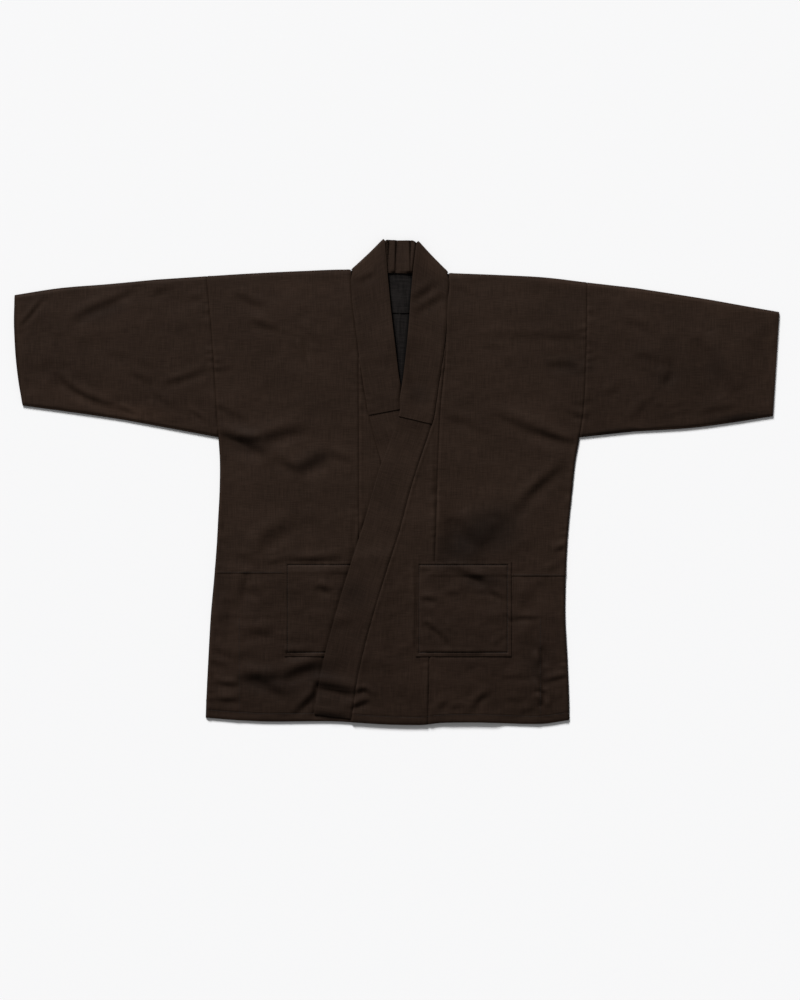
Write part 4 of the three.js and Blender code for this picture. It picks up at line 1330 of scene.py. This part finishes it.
class JACKET_OT_stitching(JacketOperator):
    """Hem, pocket, waist, vent and neck stitches, each a small sunk loop of thread"""

    bl_idname = "jacket.stitching"
    bl_label = "Stitching"

    def make(self, context, sizes):
        bpy.ops.object.select_all(action="DESELECT")
        segments, rings = STITCH_FACES
        bpy.ops.mesh.primitive_uv_sphere_add(segments=segments, ring_count=rings, radius=1.0)
        model = context.active_object
        bpy.ops.object.mode_set(mode="EDIT")
        bpy.ops.mesh.select_all(action="SELECT")
        bpy.ops.transform.rotate(value=math.pi / 2, orient_axis="Y", center_override=(0, 0, 0))
        half = np.array((sizes.stitch_length / 2, sizes.thread / 2, sizes.thread / THREAD_FLAT)) / MM
        bpy.ops.transform.resize(value=half)
        bpy.ops.object.mode_set(mode="OBJECT")
        template = np.array([vertex.co[:] for vertex in model.data.vertices])
        faces = [tuple(polygon.vertices) for polygon in model.data.polygons]
        bpy.data.objects.remove(model)
        for group, lines in sewn_lines(sizes).items():
            copies = [copy for line in lines for copy in stitches_along(line, template, sizes)]
            vertices = np.concatenate(copies) * MM
            firsts = range(0, len(vertices), len(template))
            joined = [tuple(first + v for v in face) for first in firsts for face in faces]
            mesh = bpy.data.meshes.new(f"stitches_{group}")
            mesh.from_pydata(vertices.tolist(), [], joined)
            piece = bpy.data.objects.new(mesh.name, mesh)
            context.collection.objects.link(piece)
            bpy.ops.object.select_all(action="DESELECT")
            piece.select_set(True)
            context.view_layer.objects.active = piece
            bpy.ops.object.shade_smooth()
            piece.data.materials.append(thread_look(context))
            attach(piece, BODY)


def give(tree, value, socket):
    """Sets a socket, or links it where the value is another node's output."""
    if isinstance(value, bpy.types.NodeSocket):
        tree.links.new(value, socket)
    else:
        socket.default_value = value


def add(tree, kind, output, **given):
    """An output of a new node, which has the given settings and inputs, underscores for spaces."""
    node = tree.nodes.new(f"ShaderNode{kind}")
    for key, value in given.items():
        if key in NODE_SETTINGS:
            setattr(node, key, value)
        else:
            give(tree, value, node.inputs[key.replace("_", " ")])
    return node.outputs[output]


def maths(tree, operation, a, b):
    node = tree.nodes.new("ShaderNodeMath")
    node.operation = operation
    for socket, value in zip(node.inputs, (a, b)):
        give(tree, value, socket)
    return node.outputs[0]


def blended(tree, kind, share, a, b):
    """Two colours mixed or multiplied. A colour's sockets in the Mix node go by their numbers."""
    node = tree.nodes.new("ShaderNodeMix")
    node.data_type, node.blend_type = "RGBA", kind
    for index, value in zip((0, 6, 7), (share, a, b)):
        give(tree, value, node.inputs[index])
    return node.outputs[2]


def scaled(tree, colour, share):
    return add(tree, "VectorMath", "Vector", operation="SCALE", Vector=colour, Scale=share)


def between(tree, value, low, high):
    """0 where the value is low and 1 where it is high."""
    return add(tree, "MapRange", "Result", Value=value, From_Min=low, From_Max=high)


def eased(tree, value, width, start, end):
    """From start to end, with no sharp bend, as the value goes from zero to a width."""
    return add(
        tree, "MapRange", "Result", interpolation_type="SMOOTHSTEP", Value=value, From_Max=width,
        To_Min=start, To_Max=end)


def streaks(tree, coordinates, across, along, detail):
    """Noise drawn out into threads: sizes across and along, in metres."""
    drawn_out = add(tree, "Mapping", "Vector", Vector=coordinates, Scale=(1 / across, 1 / along, 1))
    return add(
        tree, "TexNoise", "Fac", Vector=drawn_out, Scale=1.0, Detail=detail, Roughness=STREAK_ROUGHNESS)


def painted_light_and_shade(tree, place):
    """How light each place is painted: the painted light and shade, multiplied together, and 1 on the back.
    """
    tone = 1.0
    for x, y, half_length, half_width, tilt, depth in PAINTED_LIGHT_AND_SHADE:
        spot = add(
            tree, "Mapping", "Vector", vector_type="TEXTURE", Vector=place, Location=(x * MM, y * MM, 0),
            Rotation=(0, 0, math.radians(tilt)), Scale=(half_length * MM, half_width * MM, SHADE_HEIGHT))
        fall = add(tree, "TexGradient", "Fac", gradient_type="SPHERICAL", Vector=spot)
        tone = maths(tree, "MULTIPLY", eased(tree, fall, 1.0, 1.0, depth), tone)
    on_front = between(tree, add(tree, "SeparateXYZ", "Z", Vector=place), *SHADES_ABOVE)
    change = maths(tree, "MULTIPLY", maths(tree, "SUBTRACT", tone, 1), on_front)
    return maths(tree, "ADD", change, 1)


def woven(tree, shader, dark, light, sheen, slub):
    """Slubs in both directions, a fine plain weave in relief, and a soft sheen."""
    coordinates, place = (add(tree, "TexCoord", output) for output in ("UV", "Object"))
    warp, weft, cloud = (streaks(tree, coordinates, *streak) for streak in (WARP, WEFT, CLOUD))
    threads = maths(tree, "ADD", warp, weft)
    level = maths(tree, "ADD", threads, maths(tree, "MULTIPLY", cloud, CLOUD_SHARE))
    slubs = between(tree, level, SLUB_LEVEL - slub, SLUB_LEVEL + slub)
    colour = blended(tree, "MIX", slubs, (*dark, 1), (*light, 1))
    below = between(tree, add(tree, "SeparateXYZ", "Y", Vector=place), *SKIRT_FROM)
    colour = blended(tree, "MULTIPLY", below, colour, (*SKIRT_SHADE, 1))
    # The base colour takes the painted light and shade
    give(tree, scaled(tree, colour, painted_light_and_shade(tree, place)), shader.inputs["Base Color"])
    ribs = [
        add(tree, "TexWave", "Fac", wave_type="BANDS", bands_direction=direction, Vector=coordinates,
            Scale=WEAVE_SCALE, Distortion=0.0)
        for direction in ("X", "Y")
    ]
    weave = maths(tree, "MULTIPLY", maths(tree, "MAXIMUM", *ribs), WEAVE_SHARE)
    relieved(tree, shader, maths(tree, "ADD", weave, threads), WEAVE_BUMP)
    shader.inputs["Sheen Weight"].default_value = sheen
    shader.inputs["Sheen Roughness"].default_value = SHEEN_ROUGHNESS
    shader.inputs["Sheen Tint"].default_value = SHEEN_TINT
    shader.inputs["Specular IOR Level"].default_value = SPECULAR


def relieved(tree, shader, height, bump):
    strength, distance = bump
    normal = add(tree, "Bump", "Normal", Height=height, Strength=strength, Distance=distance)
    give(tree, normal, shader.inputs["Normal"])


# Paints shade into the base colour beside the bands' free edges, where they keep the light off the wrong side
def shaded_by_bands(tree, shader):
    colour = shader.inputs["Base Color"].links[0].from_socket
    place = add(tree, "TexCoord", "Object")
    x, y = (add(tree, "SeparateXYZ", axis, Vector=place) for axis in ("X", "Y"))
    for across, down, slope, way, wide in BAND_EDGES:
        edge = maths(tree, "ADD", maths(tree, "MULTIPLY", y, slope), across - slope * down)
        inward = maths(tree, "MULTIPLY", maths(tree, "SUBTRACT", x, edge), way)
        colour = scaled(tree, colour, eased(tree, inward, wide, DEEPEST_SHADE, 1.0))
    give(tree, colour, shader.inputs["Base Color"])


def new_look(name, roughness, colour):
    """The material of that name, and its tree and its shader where it is new."""
    if name in bpy.data.materials:
        return bpy.data.materials[name], None, None
    material = bpy.data.materials.new(name)
    material.use_nodes = True
    shader = material.node_tree.nodes["Principled BSDF"]
    shader.inputs["Base Color"].default_value = (*colour, 1)
    shader.inputs["Roughness"].default_value = roughness
    return material, material.node_tree, shader


def cloth_look(context, kind=""):
    colours = context.scene.jacket_colours
    roughness, sheen, slub = CLOTH_FINISH
    material, tree, shader = new_look(f"brown_slub_cloth{kind}", roughness, colours.cloth)
    if tree:
        shades = np.array((colours.cloth, colours.slub)) * PIECE_SHADE[kind]
        woven(tree, shader, *shades.tolist(), sheen, slub)
    return material


def facing_look(context):
    colours = context.scene.jacket_colours
    roughness, sheen, slub = FACING_FINISH
    material, tree, shader = new_look("dark_facing_cloth", roughness, colours.facing)
    if tree:
        light = [FACING_THREADS * value for value in colours.facing]
        woven(tree, shader, colours.facing, light, sheen, slub)
        shaded_by_bands(tree, shader)
    return material


def thread_look(context):
    colours = context.scene.jacket_colours
    material, tree, shader = new_look("brown_thread", THREAD_ROUGHNESS, colours.thread)
    if tree:
        place = add(tree, "TexCoord", "Object")
        twist = add(
            tree, "TexWave", "Fac", wave_type="BANDS", bands_direction="DIAGONAL", Vector=place,
            Scale=THREAD_TWIST)
        relieved(tree, shader, twist, THREAD_BUMP)
    return material


class JACKET_OT_stage(JacketOperator):
    """The table top, the lights and the camera"""

    bl_idname = "jacket.stage"
    bl_label = "Table, lights and camera"

    def make(self, context, sizes):
        scene = context.scene
        bpy.ops.object.select_all(action="DESELECT")
        bpy.ops.mesh.primitive_plane_add(size=TABLE_SIZE, location=(0, 0, 0))
        floor = context.active_object
        floor.name = "table_top"
        for vertex in floor.data.vertices:
            vertex.co.z = TABLE_Z
        floor.data.materials.append(new_look("pale_table", TABLE_ROUGHNESS, scene.jacket_colours.floor)[0])
        world = bpy.data.worlds.new("soft_room")
        world.use_nodes = True
        background = world.node_tree.nodes["Background"]
        background.inputs["Color"].default_value = (1, 1, 1, 1)
        background.inputs["Strength"].default_value = ROOM_LIGHT
        scene.world = world
        bpy.ops.object.light_add(type="SUN", location=WINDOW_PLACE)
        window = context.active_object
        window.name = "soft_window"
        window.data.energy = WINDOW_LIGHT
        window.data.angle = WINDOW_SPREAD
        window.rotation_euler = Vector(WINDOW_FROM).to_track_quat("Z", "Y").to_euler()
        bpy.ops.object.camera_add(location=CAMERA_PLACE, rotation=(0, 0, 0))
        camera = context.active_object
        camera.data.sensor_width = SENSOR
        camera.data.lens = SENSOR * CAMERA_PLACE[2] / VIEW_HEIGHT
        camera.data.clip_end = CLIP_END
        scene.camera = camera
        scene.view_settings.view_transform = "Standard"


PIECES = (
    JACKET_OT_body,
    JACKET_OT_overlap,
    JACKET_OT_sleeves,
    JACKET_OT_pockets,
    JACKET_OT_collar,
    JACKET_OT_over_collar,
    JACKET_OT_neck_facing,
    JACKET_OT_stitching,
    JACKET_OT_stage,
)


class JACKET_PT_sidebar(bpy.types.Panel):
    """Lists the jacket's pieces, sizes and colours"""

    bl_idname = "JACKET_PT_sidebar"
    bl_label = "Kimono jacket"
    bl_space_type = "VIEW_3D"
    bl_region_type = "UI"
    bl_category = "Jacket"

    def draw(self, context):
        for group in (context.scene.jacket_sizes, context.scene.jacket_colours):
            box = self.layout.box()
            for key in group.__annotations__:
                box.prop(group, key)
        for operator in PIECES:
            self.layout.operator(operator.bl_idname)


CLASSES = (JacketSizes, JacketColours, *PIECES, JACKET_PT_sidebar)


def register():
    for item in CLASSES:
        bpy.utils.register_class(item)
    bpy.types.Scene.jacket_sizes = bpy.props.PointerProperty(type=JacketSizes)
    bpy.types.Scene.jacket_colours = bpy.props.PointerProperty(type=JacketColours)


def unregister():
    del bpy.types.Scene.jacket_colours
    del bpy.types.Scene.jacket_sizes
    for item in reversed(CLASSES):
        bpy.utils.unregister_class(item)


def main():
    register()
    for operator in PIECES:
        group, name = operator.bl_idname.split(".")
        if getattr(getattr(bpy.ops, group), name)() != {"FINISHED"}:
            raise RuntimeError(f"{operator.bl_label} wasn't made")


if __name__ == "__main__":
    main()
